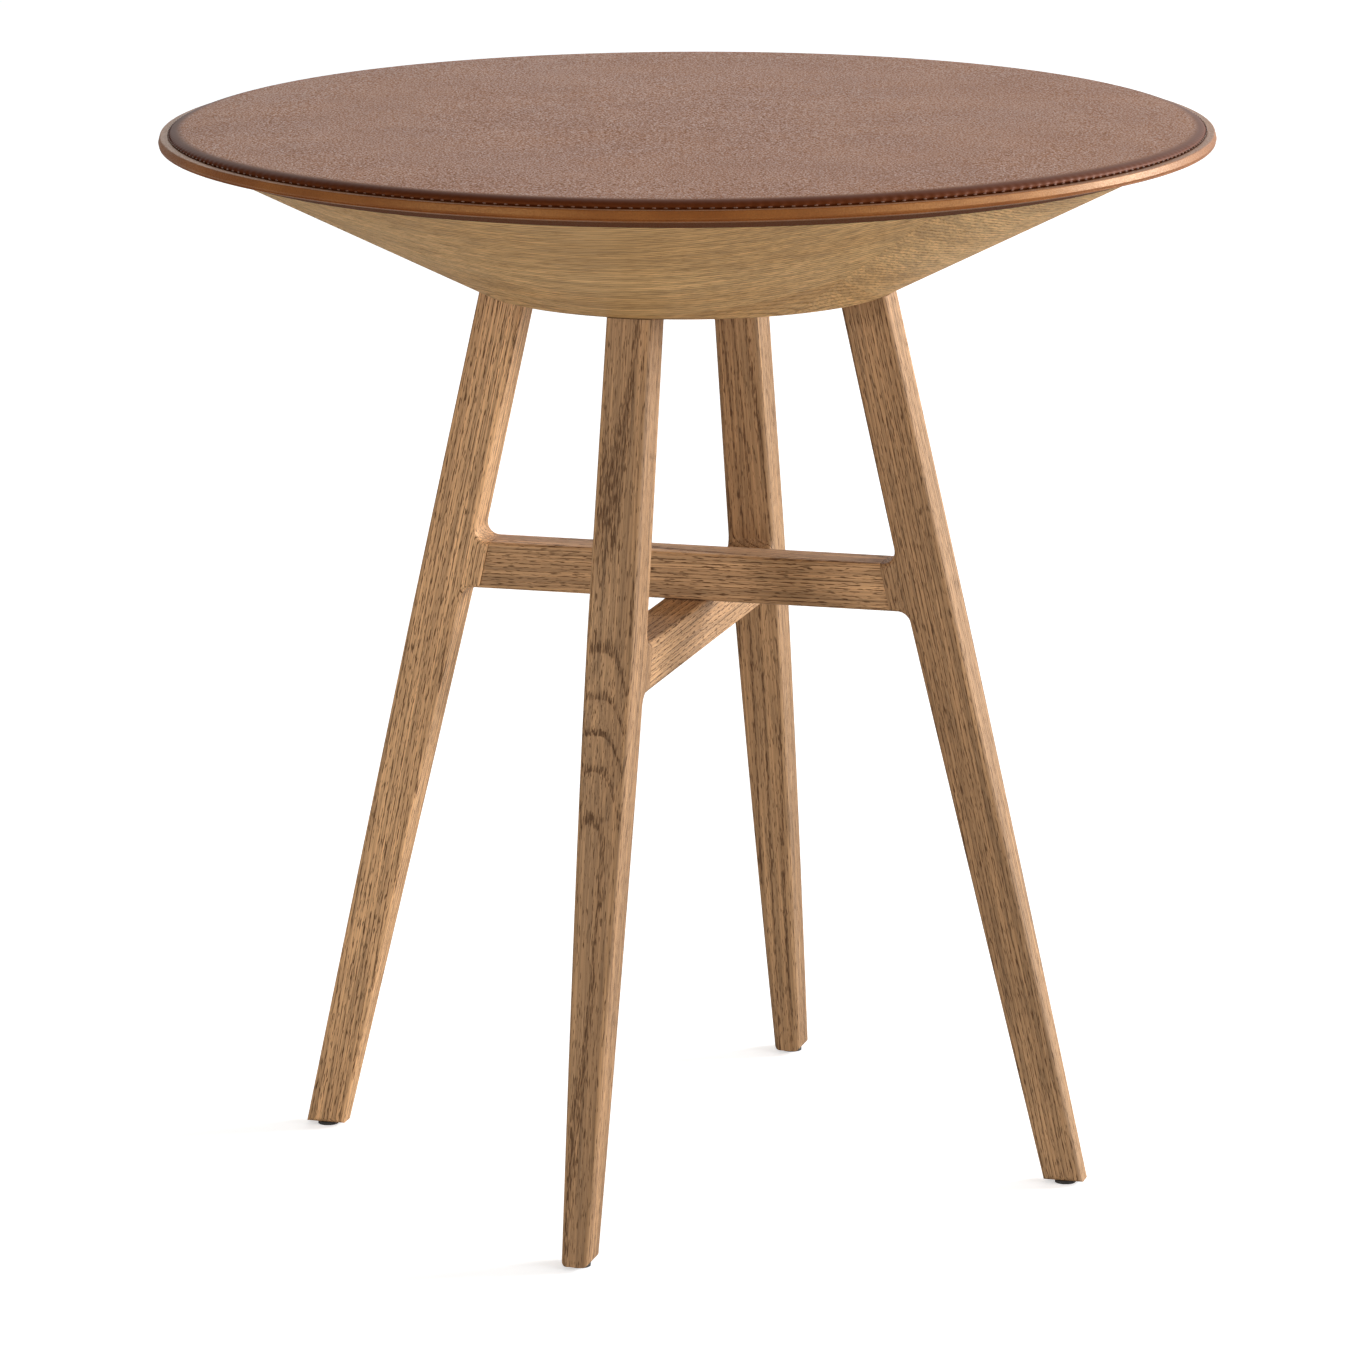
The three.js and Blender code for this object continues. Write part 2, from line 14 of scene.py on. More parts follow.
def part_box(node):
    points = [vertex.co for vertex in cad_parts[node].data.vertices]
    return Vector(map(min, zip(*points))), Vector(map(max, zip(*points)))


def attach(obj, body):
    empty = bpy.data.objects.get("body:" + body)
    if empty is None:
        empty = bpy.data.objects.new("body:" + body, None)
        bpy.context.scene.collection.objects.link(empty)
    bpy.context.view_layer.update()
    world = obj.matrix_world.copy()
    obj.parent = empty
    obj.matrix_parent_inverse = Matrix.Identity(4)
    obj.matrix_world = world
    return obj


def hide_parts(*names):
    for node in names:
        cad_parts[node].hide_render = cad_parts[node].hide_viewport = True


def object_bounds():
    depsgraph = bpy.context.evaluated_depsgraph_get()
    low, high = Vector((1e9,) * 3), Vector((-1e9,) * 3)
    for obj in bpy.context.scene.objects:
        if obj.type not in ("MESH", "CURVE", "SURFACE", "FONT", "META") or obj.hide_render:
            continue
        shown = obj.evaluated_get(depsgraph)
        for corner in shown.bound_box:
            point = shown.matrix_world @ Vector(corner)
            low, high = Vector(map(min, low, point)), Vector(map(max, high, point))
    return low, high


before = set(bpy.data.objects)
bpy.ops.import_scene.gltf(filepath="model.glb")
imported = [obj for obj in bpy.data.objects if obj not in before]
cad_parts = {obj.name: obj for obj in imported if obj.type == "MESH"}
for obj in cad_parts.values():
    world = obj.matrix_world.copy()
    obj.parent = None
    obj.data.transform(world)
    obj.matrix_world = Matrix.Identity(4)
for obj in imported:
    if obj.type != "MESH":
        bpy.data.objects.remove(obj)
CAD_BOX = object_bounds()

LOG = logging.getLogger("bistro_table")
ROOT_BODY = "root"
MERGE = 1e-6  # metres, points closer than this are one point
NEAR = 0.0005  # metres, how far a point may lie off a circle that it belongs to
SMOOTH_BELOW = math.radians(32)  # edges that turn more than this stay crisp
UPRIGHT = 0.8  # height of a unit direction from which a board counts as upright
NOISE_RANGE = (0.3, 0.7)  # where most of a noise texture's values lie
CONE_INSET = 0.019  # from the rim of the top to the rim of the cone
CONE_FOOT = 0.144  # radius of the cone's floor
KEY_COLOUR = (0.96, 1.0, 1.05)  # of the two lamps that light the table most

Colour = tuple[float, float, float]
Outline = list[tuple[float, float]]  # distances from the table's axis and heights
Mesh = bmesh.types.BMesh
Node = bpy.types.Node
Socket = bpy.types.NodeSocket


class Side(Enum):
    """The four sides of the table, numbered in quarter turns from +X."""

    RIGHT = 0
    BACK = 1
    LEFT = 2
    FRONT = 3

    @property
    def azimuth(self) -> float:
        """The side's angle about the vertical axis, in radians."""
        return self.value * math.pi / 2

    @property
    def label(self) -> str:
        """The side's name as the frame writes it."""
        return self.name.lower()

    @property
    def turn(self) -> Matrix:
        """The turn that takes a piece from +X to this side."""
        return Matrix.Rotation(self.azimuth, 4, "Z")


class Slot(Enum):
    """The record's material slots."""

    PAD_LEATHER = "pad_leather"
    EDGE_LEATHER = "edge_leather"
    FOAM = "foam"
    PLYWOOD = "plywood"
    CONE_OAK = "cone_oak"
    LEG_OAK = "leg_oak"
    BEECH = "beech"
    STEEL = "steel"
    GLIDE = "glide"


class Graph:
    """Adds nodes to a node tree, with a call for each kind that the finishes use."""

    def __init__(self, tree: bpy.types.NodeTree) -> None:
        """Takes the tree to add to, a material's or a shader node group."""
        self.tree = tree

    def add(
        self, kind: str, inputs: dict[str | int, object] | None = None, **settings: object
    ) -> Node:
        """Adds one node.

        Args:
            kind: the node's type name.
            inputs: a socket to link or a value to set, by input name or number.
            settings: the node's own properties.

        Returns:
            The new node.
        """
        node = self.tree.nodes.new(kind)
        for name, value in settings.items():
            setattr(node, name, value)
        for key, value in (inputs or {}).items():
            if isinstance(value, Socket):
                self.tree.links.new(value, node.inputs[key])
            else:
                node.inputs[key].default_value = value
        return node

    def math(self, operation: str, a: object, b: object = 0.0) -> Socket:
        """Works out one sum of two sockets or numbers."""
        return self.add("ShaderNodeMath", {0: a, 1: b}, operation=operation).outputs[0]

    def vector(self, operation: str, a: object, b: object = (0.0, 0.0, 0.0)) -> Node:
        """Works on two vectors, and gives the node, which puts out a number or a vector."""
        return self.add("ShaderNodeVectorMath", {0: a, 1: b}, operation=operation)

    def stretch(self, vector: Socket, factors: object) -> Socket:
        """Multiplies a vector by three factors, a socket or three numbers."""
        return self.vector("MULTIPLY", vector, factors).outputs[0]

    def moved(self, point: Socket, aside: object, share: object) -> Socket:
        """Moves a point by a share of a vector."""
        scaled = self.add("ShaderNodeVectorMath", {0: aside, "Scale": share}, operation="SCALE")
        return self.vector("ADD", point, scaled.outputs[0]).outputs[0]

    def span(
        self, value: object, low: float, high: float, to_low: float = 0.0, to_high: float = 1.0
    ) -> Socket:
        """Eases a number from the range low to high over to the range to_low to to_high."""
        given = {"Value": value, "From Min": low, "From Max": high, "To Min": to_low,
                 "To Max": to_high}
        return self.add("ShaderNodeMapRange", given, interpolation_type="SMOOTHSTEP").outputs[0]

    def mix(self, share: object, a: object, b: object, blend: str = "MIX") -> Socket:
        """Mixes the share of a second socket or colour into a first."""
        inputs = {0: share, 6: opaque(a), 7: opaque(b)}
        return self.add("ShaderNodeMix", inputs, data_type="RGBA", blend_type=blend).outputs[2]

    def plus(self, base: object, mask: Socket, share: object) -> Socket:
        """Adds a share of a mask to a number."""
        return self.math("ADD", base, self.math("MULTIPLY", mask, share))

    def stain(self, colour: object, mask: Socket, strength: float, stain: Colour) -> Socket:
        """Lays a stain or painted shade over a colour where a mask shows, as strongly as told."""
        return self.mix(self.math("MULTIPLY", mask, strength), colour, stain)

    def noise(
        self, point: Socket, scale: object, detail: float = 2.0, roughness: float = 0.5
    ) -> Node:
        """Adds a noise texture.

        Args:
            point: where to read it.
            scale: cycles a unit, as a socket, three numbers or one.
            detail: how many finer layers it has.
            roughness: how strong each finer layer is.

        Returns:
            The node.
        """
        factors = (scale,) * 3 if isinstance(scale, float) else scale
        given = {"Vector": self.stretch(point, factors), "Scale": 1.0}
        given |= {"Detail": detail, "Roughness": roughness}
        return self.add("ShaderNodeTexNoise", given)

    def group(self, tree: bpy.types.NodeTree, inputs: dict[str | int, object]) -> Node:
        """Places a node group with the inputs it is given by name, and gives its node."""
        return self.add("ShaderNodeGroup", inputs, node_tree=tree)

    def link(self, source: Socket, node: Node, name: str) -> None:
        """Feeds one of a node's sockets, by the socket's name."""
        self.tree.links.new(source, node.inputs[name])


def opaque(colour: object) -> object:
    """Gives a colour its alpha, and leaves a socket as it is."""
    return colour if isinstance(colour, Socket) else (*colour, 1.0)


def shared_group(
    name: str,
    numbers: tuple[str, ...],
    outputs: tuple[str, ...],
    fill: Callable[[Graph, Node], dict[str, Socket]],
) -> bpy.types.NodeTree:
    """Builds a shader node group, unless it is already there.

    Args:
        name: the group's name.
        numbers: the numbers that it takes besides the point to read, which it calls Vector.
        outputs: the numbers that it puts out.
        fill: adds its nodes, from its graph and input node, and gives what feeds each output.

    Returns:
        The group.
    """
    known = bpy.data.node_groups.get(name)
    if known:
        return known
    tree = bpy.data.node_groups.new(name, "ShaderNodeTree")
    tree.interface.new_socket(name="Vector", in_out="INPUT", socket_type="NodeSocketVector")
    for way, labels in (("INPUT", numbers), ("OUTPUT", outputs)):
        for label in labels:
            tree.interface.new_socket(name=label, in_out=way, socket_type="NodeSocketFloat")
    graph = Graph(tree)
    graph.add("NodeGroupOutput", fill(graph, graph.add("NodeGroupInput")))
    return tree


@dataclass(frozen=True)
class Figure:
    """The solid figure of ring-porous wood: the group reads a point in the log's own frame."""

    name: str = "Wood figure"
    wander_scale: tuple[float, float, float] = (2.2, 9.0, 9.0)  # cycles a metre
    ring_drift_scale: tuple[float, float, float] = (0.8, 26.0, 26.0)
    ring_drift: float = 1.6  # rings
    early_share: float = 0.34  # of a ring, where its porous early wood has faded
    pore_fineness: float = 1500.0  # cycles a metre across the grain
    fibre_scale: tuple[float, float, float] = (12.0, 800.0, 800.0)
    streak_scale: tuple[float, float, float] = (2.6, 230.0, 230.0)
    fleck_length: float = 70.0  # cycles a metre along the grain
    fleck_thinness: float = 1500.0
    fleck_depth: float = 60.0
    fleck_radius: float = 0.1  # metres, where the fleck's thickness is true
    fleck_range: tuple[float, float] = (0.64, 0.72)  # of the noise, where a fleck fades in
    shade_scale: tuple[float, float, float] = (1.6, 22.0, 22.0)
    pore_range: tuple[float, float] = (0.6, 0.7)  # of the noise, where a pore fades in
    pore_lift: float = 0.14  # added to the noise in the early wood, which has more pores

    def group(self) -> bpy.types.NodeTree:
        """The node group, which puts out a mask for each thing that the figure shows."""
        masks = ("Rings", "Pores", "Fibre", "Streaks", "Flecks", "Shade")
        return shared_group(self.name, ("Ring Width", "Pore Length", "Wander"), masks, self.masks)

    def masks(self, graph: Graph, given: Node) -> dict[str, Socket]:
        """Works out the masks.

        Args:
            graph: the group's graph.
            given: its input node.

        Returns:
            The mask for each output.
        """
        point = self.wandering(graph, given)
        rings, distance = self.rings(graph, given, point)
        return {
            "Rings": rings,
            "Pores": self.pores(graph, given, point, rings),
            "Fibre": graph.noise(point, self.fibre_scale, detail=3.0, roughness=0.6).outputs[0],
            "Streaks": graph.noise(point, self.streak_scale, roughness=0.6).outputs[0],
            "Flecks": self.flecks(graph, point, distance),
            "Shade": graph.noise(point, self.shade_scale).outputs[0],
        }

    def wandering(self, graph: Graph, given: Node) -> Socket:
        """Bends the grain a little along its way.

        Args:
            graph: the group's graph.
            given: its input node.

        Returns:
            The bent point.
        """
        point = given.outputs["Vector"]
        drift = graph.noise(point, self.wander_scale).outputs[1]
        centred = graph.vector("SUBTRACT", drift, (0.5, 0.5, 0.5)).outputs[0]
        return graph.moved(point, centred, given.outputs["Wander"])

    def rings(self, graph: Graph, given: Node, point: Socket) -> tuple[Socket, Socket]:
        """Finds the porous early wood of each year's ring.

        Args:
            graph: the group's graph.
            given: its input node.
            point: the bent point.

        Returns:
            The mask of the early wood, and the distance from the pith.
        """
        distance = graph.vector("LENGTH", graph.stretch(point, (0.0, 1.0, 1.0))).outputs["Value"]
        count = graph.math("DIVIDE", distance, given.outputs["Ring Width"])
        drift = graph.noise(point, self.ring_drift_scale, detail=1.0).outputs[0]
        year = graph.math("FRACT", graph.plus(count, drift, self.ring_drift))
        start = graph.span(year, 0.0, self.early_share / 5)
        fade = graph.span(year, self.early_share / 3, self.early_share, 1.0, 0.0)
        return graph.math("MULTIPLY", start, fade), distance

    def pores(self, graph: Graph, given: Node, point: Socket, rings: Socket) -> Socket:
        """Scatters open pores, thickest in the early wood.

        Args:
            graph: the group's graph.
            given: its input node.
            point: the bent point.
            rings: the mask of the early wood.

        Returns:
            The mask of the pores.
        """
        along = graph.math("DIVIDE", 1.0, given.outputs["Pore Length"])
        across = self.pore_fineness
        factors = graph.add("ShaderNodeCombineXYZ", {0: along, 1: across, 2: across})
        cells = graph.noise(point, factors.outputs[0], detail=1.0).outputs[0]
        return graph.span(graph.plus(cells, rings, self.pore_lift), *self.pore_range)

    def flecks(self, graph: Graph, point: Socket, distance: Socket) -> Socket:
        """Finds the ray flecks, ribbons that run out from the pith.

        Args:
            graph: the group's graph.
            point: the bent point.
            distance: how far the point is from the pith.

        Returns:
            The mask of the flecks.
        """
        parts = graph.add("ShaderNodeSeparateXYZ", {0: point})
        angle = graph.math("ARCTAN2", parts.outputs[1], parts.outputs[2])
        ribbon = graph.add("ShaderNodeCombineXYZ", {0: parts.outputs[0], 1: angle, 2: distance})
        scale = (self.fleck_length, self.fleck_radius * self.fleck_thinness, self.fleck_depth)
        cells = graph.noise(ribbon.outputs[0], scale, detail=1.0).outputs[0]
        return graph.span(cells, *self.fleck_range)


@dataclass(frozen=True)
class HideGrain:
    """The pebbles and slow mottle of a tanned hide."""

    ripple_scale: float = 260.0  # cycles a metre
    ripple: float = 0.0012  # metres
    mottle_scale: float = 14.0
    sparkle_scale: float = 850.0
    smoothness: float = 0.35
    dome: tuple[float, float] = (0.08, 0.72)  # shares of a pebble's size, from its middle
    crease: tuple[float, float] = (0.42, 0.68)
    speck: tuple[float, float] = (0.4, 0.6)  # of the noise, where a dull speck turns bright

    def group(self) -> bpy.types.NodeTree:
        """The node group, with the pebbles' height, their creases, fine specks and the mottle."""
        masks = ("Height", "Creases", "Sparkle", "Mottle")
        return shared_group("Hide grain", ("Pebble Size",), masks, self.masks)

    def masks(self, graph: Graph, given: Node) -> dict[str, Socket]:
        """Works out the masks.

        Args:
            graph: the group's graph.
            given: its input node.

        Returns:
            The mask for each output.
        """
        place = given.outputs["Vector"]
        ripple = graph.noise(place, self.ripple_scale).outputs[1]
        centred = graph.vector("SUBTRACT", ripple, (0.5, 0.5, 0.5)).outputs[0]
        bent = graph.moved(place, centred, self.ripple)
        cells = graph.math("DIVIDE", 1.0, given.outputs["Pebble Size"])
        pebbles = graph.add(
            "ShaderNodeTexVoronoi",
            {"Vector": bent, "Scale": cells, "Smoothness": self.smoothness},
            feature="SMOOTH_F1",
        ).outputs["Distance"]
        specks = graph.noise(place, self.sparkle_scale, detail=1.0).outputs[0]
        mottle = graph.noise(place, self.mottle_scale, detail=4.0, roughness=0.6).outputs[0]
        return {
            "Height": graph.span(pebbles, *self.dome, 1.0, 0.0),
            "Creases": graph.span(pebbles, *self.crease),
            "Sparkle": graph.span(specks, *self.speck),
            "Mottle": mottle,
        }


@dataclass(frozen=True)
class Handling:
    """The faint unevenness that hands and dusters leave on every surface."""

    scale: float = 9.0  # cycles a metre

    def group(self) -> bpy.types.NodeTree:
        """The node group, with a roughness that varies over the surface."""
        return shared_group("Handling", ("Roughness", "Spread"), ("Roughness",), self.masks)

    def masks(self, graph: Graph, given: Node) -> dict[str, Socket]:
        """Works out the uneven roughness.

        Args:
            graph: the group's graph.
            given: its input node.

        Returns:
            The roughness.
        """
        place, rough, spread = (given.outputs[name] for name in ("Vector", "Roughness", "Spread"))
        patches = graph.noise(place, self.scale, detail=5.0, roughness=0.65).outputs[0]
        return {"Roughness": graph.plus(rough, graph.math("SUBTRACT", patches, 0.5), spread)}


@dataclass(frozen=True)
class Finish:
    """What every finish has: a name, a roughness, how uneven it is and how strongly it mirrors."""

    name: str
    roughness: float = 0.5
    unevenness: float = 0.12
    specular: float = 0.5
    specular_tint: Colour = (1.0, 1.0, 1.0)

    def start(self) -> tuple[bpy.types.Material, Graph, Node, Socket]:
        """Starts the material.

        Returns:
            The material, its graph, its shader and the object's own coordinates.
        """
        material = bpy.data.materials.new(self.name)
        material.use_nodes = True
        material.node_tree.nodes.clear()
        graph = Graph(material.node_tree)
        shader = graph.add("ShaderNodeBsdfPrincipled")
        shader.inputs["Specular IOR Level"].default_value = self.specular
        shader.inputs["Specular Tint"].default_value = opaque(self.specular_tint)
        graph.add("ShaderNodeOutputMaterial", {"Surface": shader.outputs[0]})
        place = graph.add("ShaderNodeTexCoord").outputs["Object"]
        return material, graph, shader, place

    def surface(
        self, graph: Graph, shader: Node, place: Socket, colour: Socket, roughness: object,
        bump: Node,
    ) -> None:
        """Feeds the shader's colour, its roughness made uneven by handling, and its relief.

        Args:
            graph: the material's graph.
            shader: its shader.
            place: where to read the unevenness.
            colour: the base colour.
            roughness: the even roughness.
            bump: the relief's node.
        """
        given = {"Vector": place, "Roughness": roughness, "Spread": self.unevenness}
        graph.link(colour, shader, "Base Color")
        graph.link(graph.group(Handling().group(), given).outputs[0], shader, "Roughness")
        graph.link(bump.outputs[0], shader, "Normal")


@dataclass(frozen=True)
class Log:
    """How a board was cut: which way its grain runs, and where the tree's pith lay."""

    along: Vector
    pith: Vector
    sweep: Vector | None = None  # how far the trunk bends aside
    sweep_span: tuple[float, float] = (-0.1, 0.1)  # where it bends, along the grain from the pith

    def map(self, graph: Graph, place: Socket) -> Socket:
        """Takes a point to the log's own frame.

        Args:
            graph: the material's graph.
            place: the point on the piece.

        Returns:
            The point with its first axis along the grain and the pith at the origin.
        """
        first = self.along.normalized()
        helper = Vector((0, 0, 1)) if abs(first.z) < UPRIGHT else Vector((0, 1, 0))
        second = helper.cross(first).normalized()
        rows = Matrix((first, second, first.cross(second)))
        start = -(rows @ self.pith)
        turned = {"Vector": place, "Rotation": rows.to_euler("XYZ"), "Location": start}
        point = graph.add("ShaderNodeMapping", turned).outputs[0]
        if self.sweep is None:
            return point
        distance = graph.add("ShaderNodeSeparateXYZ", {0: point}).outputs[0]
        share = graph.span(distance, *self.sweep_span)
        return graph.moved(point, rows @ self.sweep, share)


@dataclass(frozen=True)
class GlueLine:
    """A joint between two boards, square to a level direction, at a distance from the axis."""

    facing: Vector
    distance: float
    shift: Vector  # how far the inner board's log lies from the outer board's


@dataclass(frozen=True)
class OakFinish(Finish):
    """Oiled oak. Colours are linear."""

    log: Log = Log(Vector((1, 0, 0)), Vector((0, 0, 0)))
    figure: Figure = Figure()
    light: Colour = (0.475, 0.272, 0.132)
    deep: Colour = (0.385, 0.21, 0.096)
    early: Colour = (0.26, 0.128, 0.051)
    pore: Colour = (0.09, 0.04, 0.016)
    fleck: Colour = (0.57, 0.36, 0.2)
    tone: float = 1.0  # how light this board is, next to the finish's usual boards
    ring_width: float = 0.0024
    ring_strength: float = 0.4
    pore_length: float = 0.008
    pore_strength: float = 0.85
    fibre_strength: float = 0.26
    streak_strength: float = 0.2
    fleck_strength: float = 0.25
    wander: float = 0.003
    pore_roughness: float = 0.2
    relief: float = 0.00025
    ring_relief: float = 0.2  # share of the pores'
    glue: GlueLine | None = None
    inner_tint: Colour = (0.93, 0.9, 0.86)
    roughness: float = 0.58
    specular: float = 0.25

    def material(self) -> bpy.types.Material:
        """Builds the material.

        Returns:
            The material.
        """
        material, graph, shader, place = self.start()
        spot, inner = self.board(graph, place)
        wood = graph.group(self.figure.group(), {
            "Vector": spot,
            "Ring Width": self.ring_width,
            "Pore Length": self.pore_length,
            "Wander": self.wander,
        })
        colour = graph.mix(graph.span(wood.outputs["Shade"], *NOISE_RANGE), self.light, self.deep)
        colour = graph.stain(colour, wood.outputs["Rings"], self.ring_strength, self.early)
        low, high = 1 - self.fibre_strength, 1 + self.fibre_strength
        fine = graph.span(wood.outputs["Fibre"], *NOISE_RANGE, low, high)
        low, high = self.tone * (1 - self.streak_strength), self.tone * (1 + self.streak_strength)
        broad = graph.span(wood.outputs["Streaks"], *NOISE_RANGE, low, high)
        tone = graph.math("MULTIPLY", fine, broad)
        grey = graph.add("ShaderNodeCombineColor", {0: tone, 1: tone, 2: tone}).outputs[0]
        colour = graph.mix(1.0, colour, grey, "MULTIPLY")
        colour = graph.stain(colour, wood.outputs["Flecks"], self.fleck_strength, self.fleck)
        colour = graph.stain(colour, wood.outputs["Pores"], self.pore_strength, self.pore)
        if inner is not None:
            colour = graph.mix(inner, colour, graph.mix(1.0, colour, self.inner_tint, "MULTIPLY"))
        rough = graph.plus(self.roughness, wood.outputs["Pores"], self.pore_roughness)
        sunk = graph.plus(wood.outputs["Pores"], wood.outputs["Rings"], self.ring_relief)
        given = {"Height": sunk, "Distance": self.relief, "Strength": 1.0}
        bump = graph.add("ShaderNodeBump", given, invert=True)
        self.surface(graph, shader, place, colour, rough, bump)
        return material

    def board(self, graph: Graph, place: Socket) -> tuple[Socket, Socket | None]:
        """Takes a point to its board's log.

        Args:
            graph: the material's graph.
            place: the point on the piece.

        Returns:
            The point in the log's frame, and a mask of the inner board where there are two.
        """
        spot = self.log.map(graph, place)
        if self.glue is None:
            return spot, None
        reach = graph.vector("DOT_PRODUCT", place, self.glue.facing).outputs["Value"]
        inner = graph.math("LESS_THAN", reach, self.glue.distance)
        return graph.moved(spot, self.glue.shift, inner), inner


@dataclass(frozen=True)
class LeatherFinish(Finish):
    """Tanned hide with a fine pebble. Colours are linear."""

    base: Colour = (0.3, 0.108, 0.036)
    worn: Colour = (0.355, 0.138, 0.048)
    worn_range: tuple[float, float] = (0.3, 0.72)  # of the mottle, where the worn colour fades in
    # painted shade: the colour laid in the creases between the pebbles
    crease: Colour = (0.125, 0.042, 0.014)
    pebble: float = 0.0018
    relief: float = 0.0002
    crease_shade_strength: float = 0.45
    crease_roughness: float = 0.3
    sparkle: float = 0.0  # roughness between the dull and the bright specks
    smooth_between: tuple[float, float] | None = None  # from the axis, where the rim turns smooth, burnished and painted darker as shade
    # the rim's colour: its burnish, with painted shade for the roll that turns from the light
    rim_burnish_and_shade: Colour = (0.085, 0.018, 0.004)
    rim_roughness: float = 0.25  # how much rougher the burnished rim is
    stained_below: tuple[float, Colour] | None = None  # a height, and the stain under it
    stain_blur: float = 0.0003

    def material(self) -> bpy.types.Material:
        """Builds the material.

        Returns:
            The material.
        """
        material, graph, shader, place = self.start()
        hide = graph.group(HideGrain().group(), {"Vector": place, "Pebble Size": self.pebble})
        height, creases, sparkle = (hide.outputs[name] for name in ("Height", "Creases", "Sparkle"))
        if self.smooth_between is not None:
            reach = graph.vector("LENGTH", graph.stretch(place, (1.0, 1.0, 0.0))).outputs["Value"]
            pebbled = graph.span(reach, *self.smooth_between, 1.0, 0.0)
            masks = (height, creases, sparkle)
            height, creases, sparkle = (graph.math("MULTIPLY", mask, pebbled) for mask in masks)
        worn = graph.span(hide.outputs["Mottle"], *self.worn_range)
        colour = graph.mix(worn, self.base, self.worn)
        # Painted shade: the creases between the pebbles take a darker colour.
        colour = graph.stain(colour, creases, self.crease_shade_strength, self.crease)
        rough = graph.plus(self.roughness, creases, self.crease_roughness)
        if self.smooth_between is not None:
            # Painted shade: the rim takes a darker colour, its burnish together with the shade on a
            # roll that turns from the light.
            rim = graph.math("SUBTRACT", 1.0, pebbled)
            colour = graph.mix(rim, colour, self.rim_burnish_and_shade)
            rough = graph.plus(rough, rim, self.rim_roughness)
        if self.stained_below is not None:
            top, stain = self.stained_below
            level = graph.add("ShaderNodeSeparateXYZ", {0: place}).outputs[2]
            below = graph.span(level, top - self.stain_blur, top, 1.0, 0.0)
            colour = graph.mix(below, colour, stain)
        rough = graph.plus(rough, sparkle, self.sparkle)
        bump = graph.add("ShaderNodeBump", {"Height": height, "Distance": self.relief})
        self.surface(graph, shader, place, colour, rough, bump)
        return material


@dataclass(frozen=True)
class PlainFinish(Finish):
    """Metal, nylon or thread: one colour that drifts, with a fine brushed or moulded grain."""

    base: Colour = (0.5, 0.5, 0.5)
    drift: Colour = (0.42, 0.42, 0.42)
    metallic: float = 0.0
    grain_scale: tuple[float, float, float] = (900.0, 900.0, 900.0)
    relief: float = 0.00004

    def material(self) -> bpy.types.Material:
        """Builds the material.

        Returns:
            The material.
        """
        material, graph, shader, place = self.start()
        grain = graph.noise(place, self.grain_scale, detail=3.0).outputs[0]
        colour = graph.mix(graph.span(grain, *NOISE_RANGE), self.base, self.drift)
        bump = graph.add("ShaderNodeBump", {"Height": grain, "Distance": self.relief})
        self.surface(graph, shader, place, colour, self.roughness, bump)
        shader.inputs["Metallic"].default_value = self.metallic
        return material


class Workshop:
    """Turns meshes into finished pieces that ride on the table's body."""

    def finish(
        self,
        bm: Mesh,
        name: str,
        material: bpy.types.Material,
        slot: Slot,
        replaces: tuple[str, ...],
        turn: Matrix | None = None,
        weighted: bool = True,
    ) -> bpy.types.Object:
        """Makes an object from a mesh in its place.

        Args:
            bm: the mesh, which is freed.
            name: the piece's name.
            material: its finish.
            slot: the record's slot for that finish; not used.
            replaces: the frame's nodes that it stands for.
            turn: a turn about the table's axis, worked into the mesh.
            weighted: whether large faces set the shading of their corners.

        Returns:
            The piece.
        """
        if turn is not None:
            bmesh.ops.transform(bm, matrix=turn, verts=bm.verts)
        bmesh.ops.recalc_face_normals(bm, faces=bm.faces)
        for face in bm.faces:
            face.smooth = True
        for edge in bm.edges:
            edge.smooth = edge.is_manifold and edge.calc_face_angle() < SMOOTH_BELOW
        mesh = bpy.data.meshes.new(name)
        bm.to_mesh(mesh)
        bm.free()
        mesh.materials.append(material)
        piece = bpy.data.objects.new(name, mesh)
        bpy.context.scene.collection.objects.link(piece)
        if weighted:
            piece.modifiers.new("Crisp faces", "WEIGHTED_NORMAL").keep_sharp = True
        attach(piece, ROOT_BODY)
        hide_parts(*replaces)
        LOG.info("%s: %d faces, for %s", name, len(mesh.polygons), ", ".join(replaces))
        return piece

    def dress(self, node: str, material: bpy.types.Material) -> None:
        """Gives a node of the frame its finish.

        Args:
            node: the node's name.
            material: its finish.
        """
        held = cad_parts[node]
        if not held.material_slots:
            held.data.materials.append(material)
        for place in held.material_slots:
            place.material = material
        LOG.info("%s: kept, in %s", node, material.name)


def profile_points(bm: Mesh, points: Outline) -> list[bmesh.types.BMVert]:
    """Sets an outline's points over +X."""
    return [bm.verts.new((radius, 0.0, height)) for radius, height in points]


def whole(bm: Mesh) -> list[object]:
    """Gives everything in a mesh."""
    return [*bm.verts, *bm.edges, *bm.faces]


def spin(
    bm: Mesh, geom: list[object], angle: float, steps: int, merge: bool = False,
    copies: bool = False,
) -> None:
    """Spins a part of a mesh round the table's axis.

    Args:
        bm: the mesh.
        geom: what is spun.
        angle: how far, in radians.
        steps: how many steps the spin takes.
        merge: whether a full turn joins up with its start.
        copies: whether it leaves separate copies, and not a skin.
    """
    bmesh.ops.spin(
        bm, geom=geom, cent=(0, 0, 0), axis=(0, 0, 1), dvec=(0, 0, 0), angle=angle, steps=steps,
        use_merge=merge, use_normal_flip=False, use_duplicate=copies,
    )


def spun(points: Outline, steps: int, closed: bool) -> Mesh:
    """Turns an outline once round the table's axis.

    Args:
        points: the outline.
        steps: how many steps the turn takes.
        closed: whether the outline closes on itself, or starts and ends on the axis.

    Returns:
        The mesh.
    """
    bm = bmesh.new()
    verts = profile_points(bm, points)
    pairs = list(zip(verts, verts[1:]))
    if closed:
        pairs.append((verts[-1], verts[0]))
    edges = [bm.edges.new(pair) for pair in pairs]
    spin(bm, [*verts, *edges], math.tau, steps, merge=True)
    bmesh.ops.remove_doubles(bm, verts=bm.verts, dist=MERGE)
    return bm


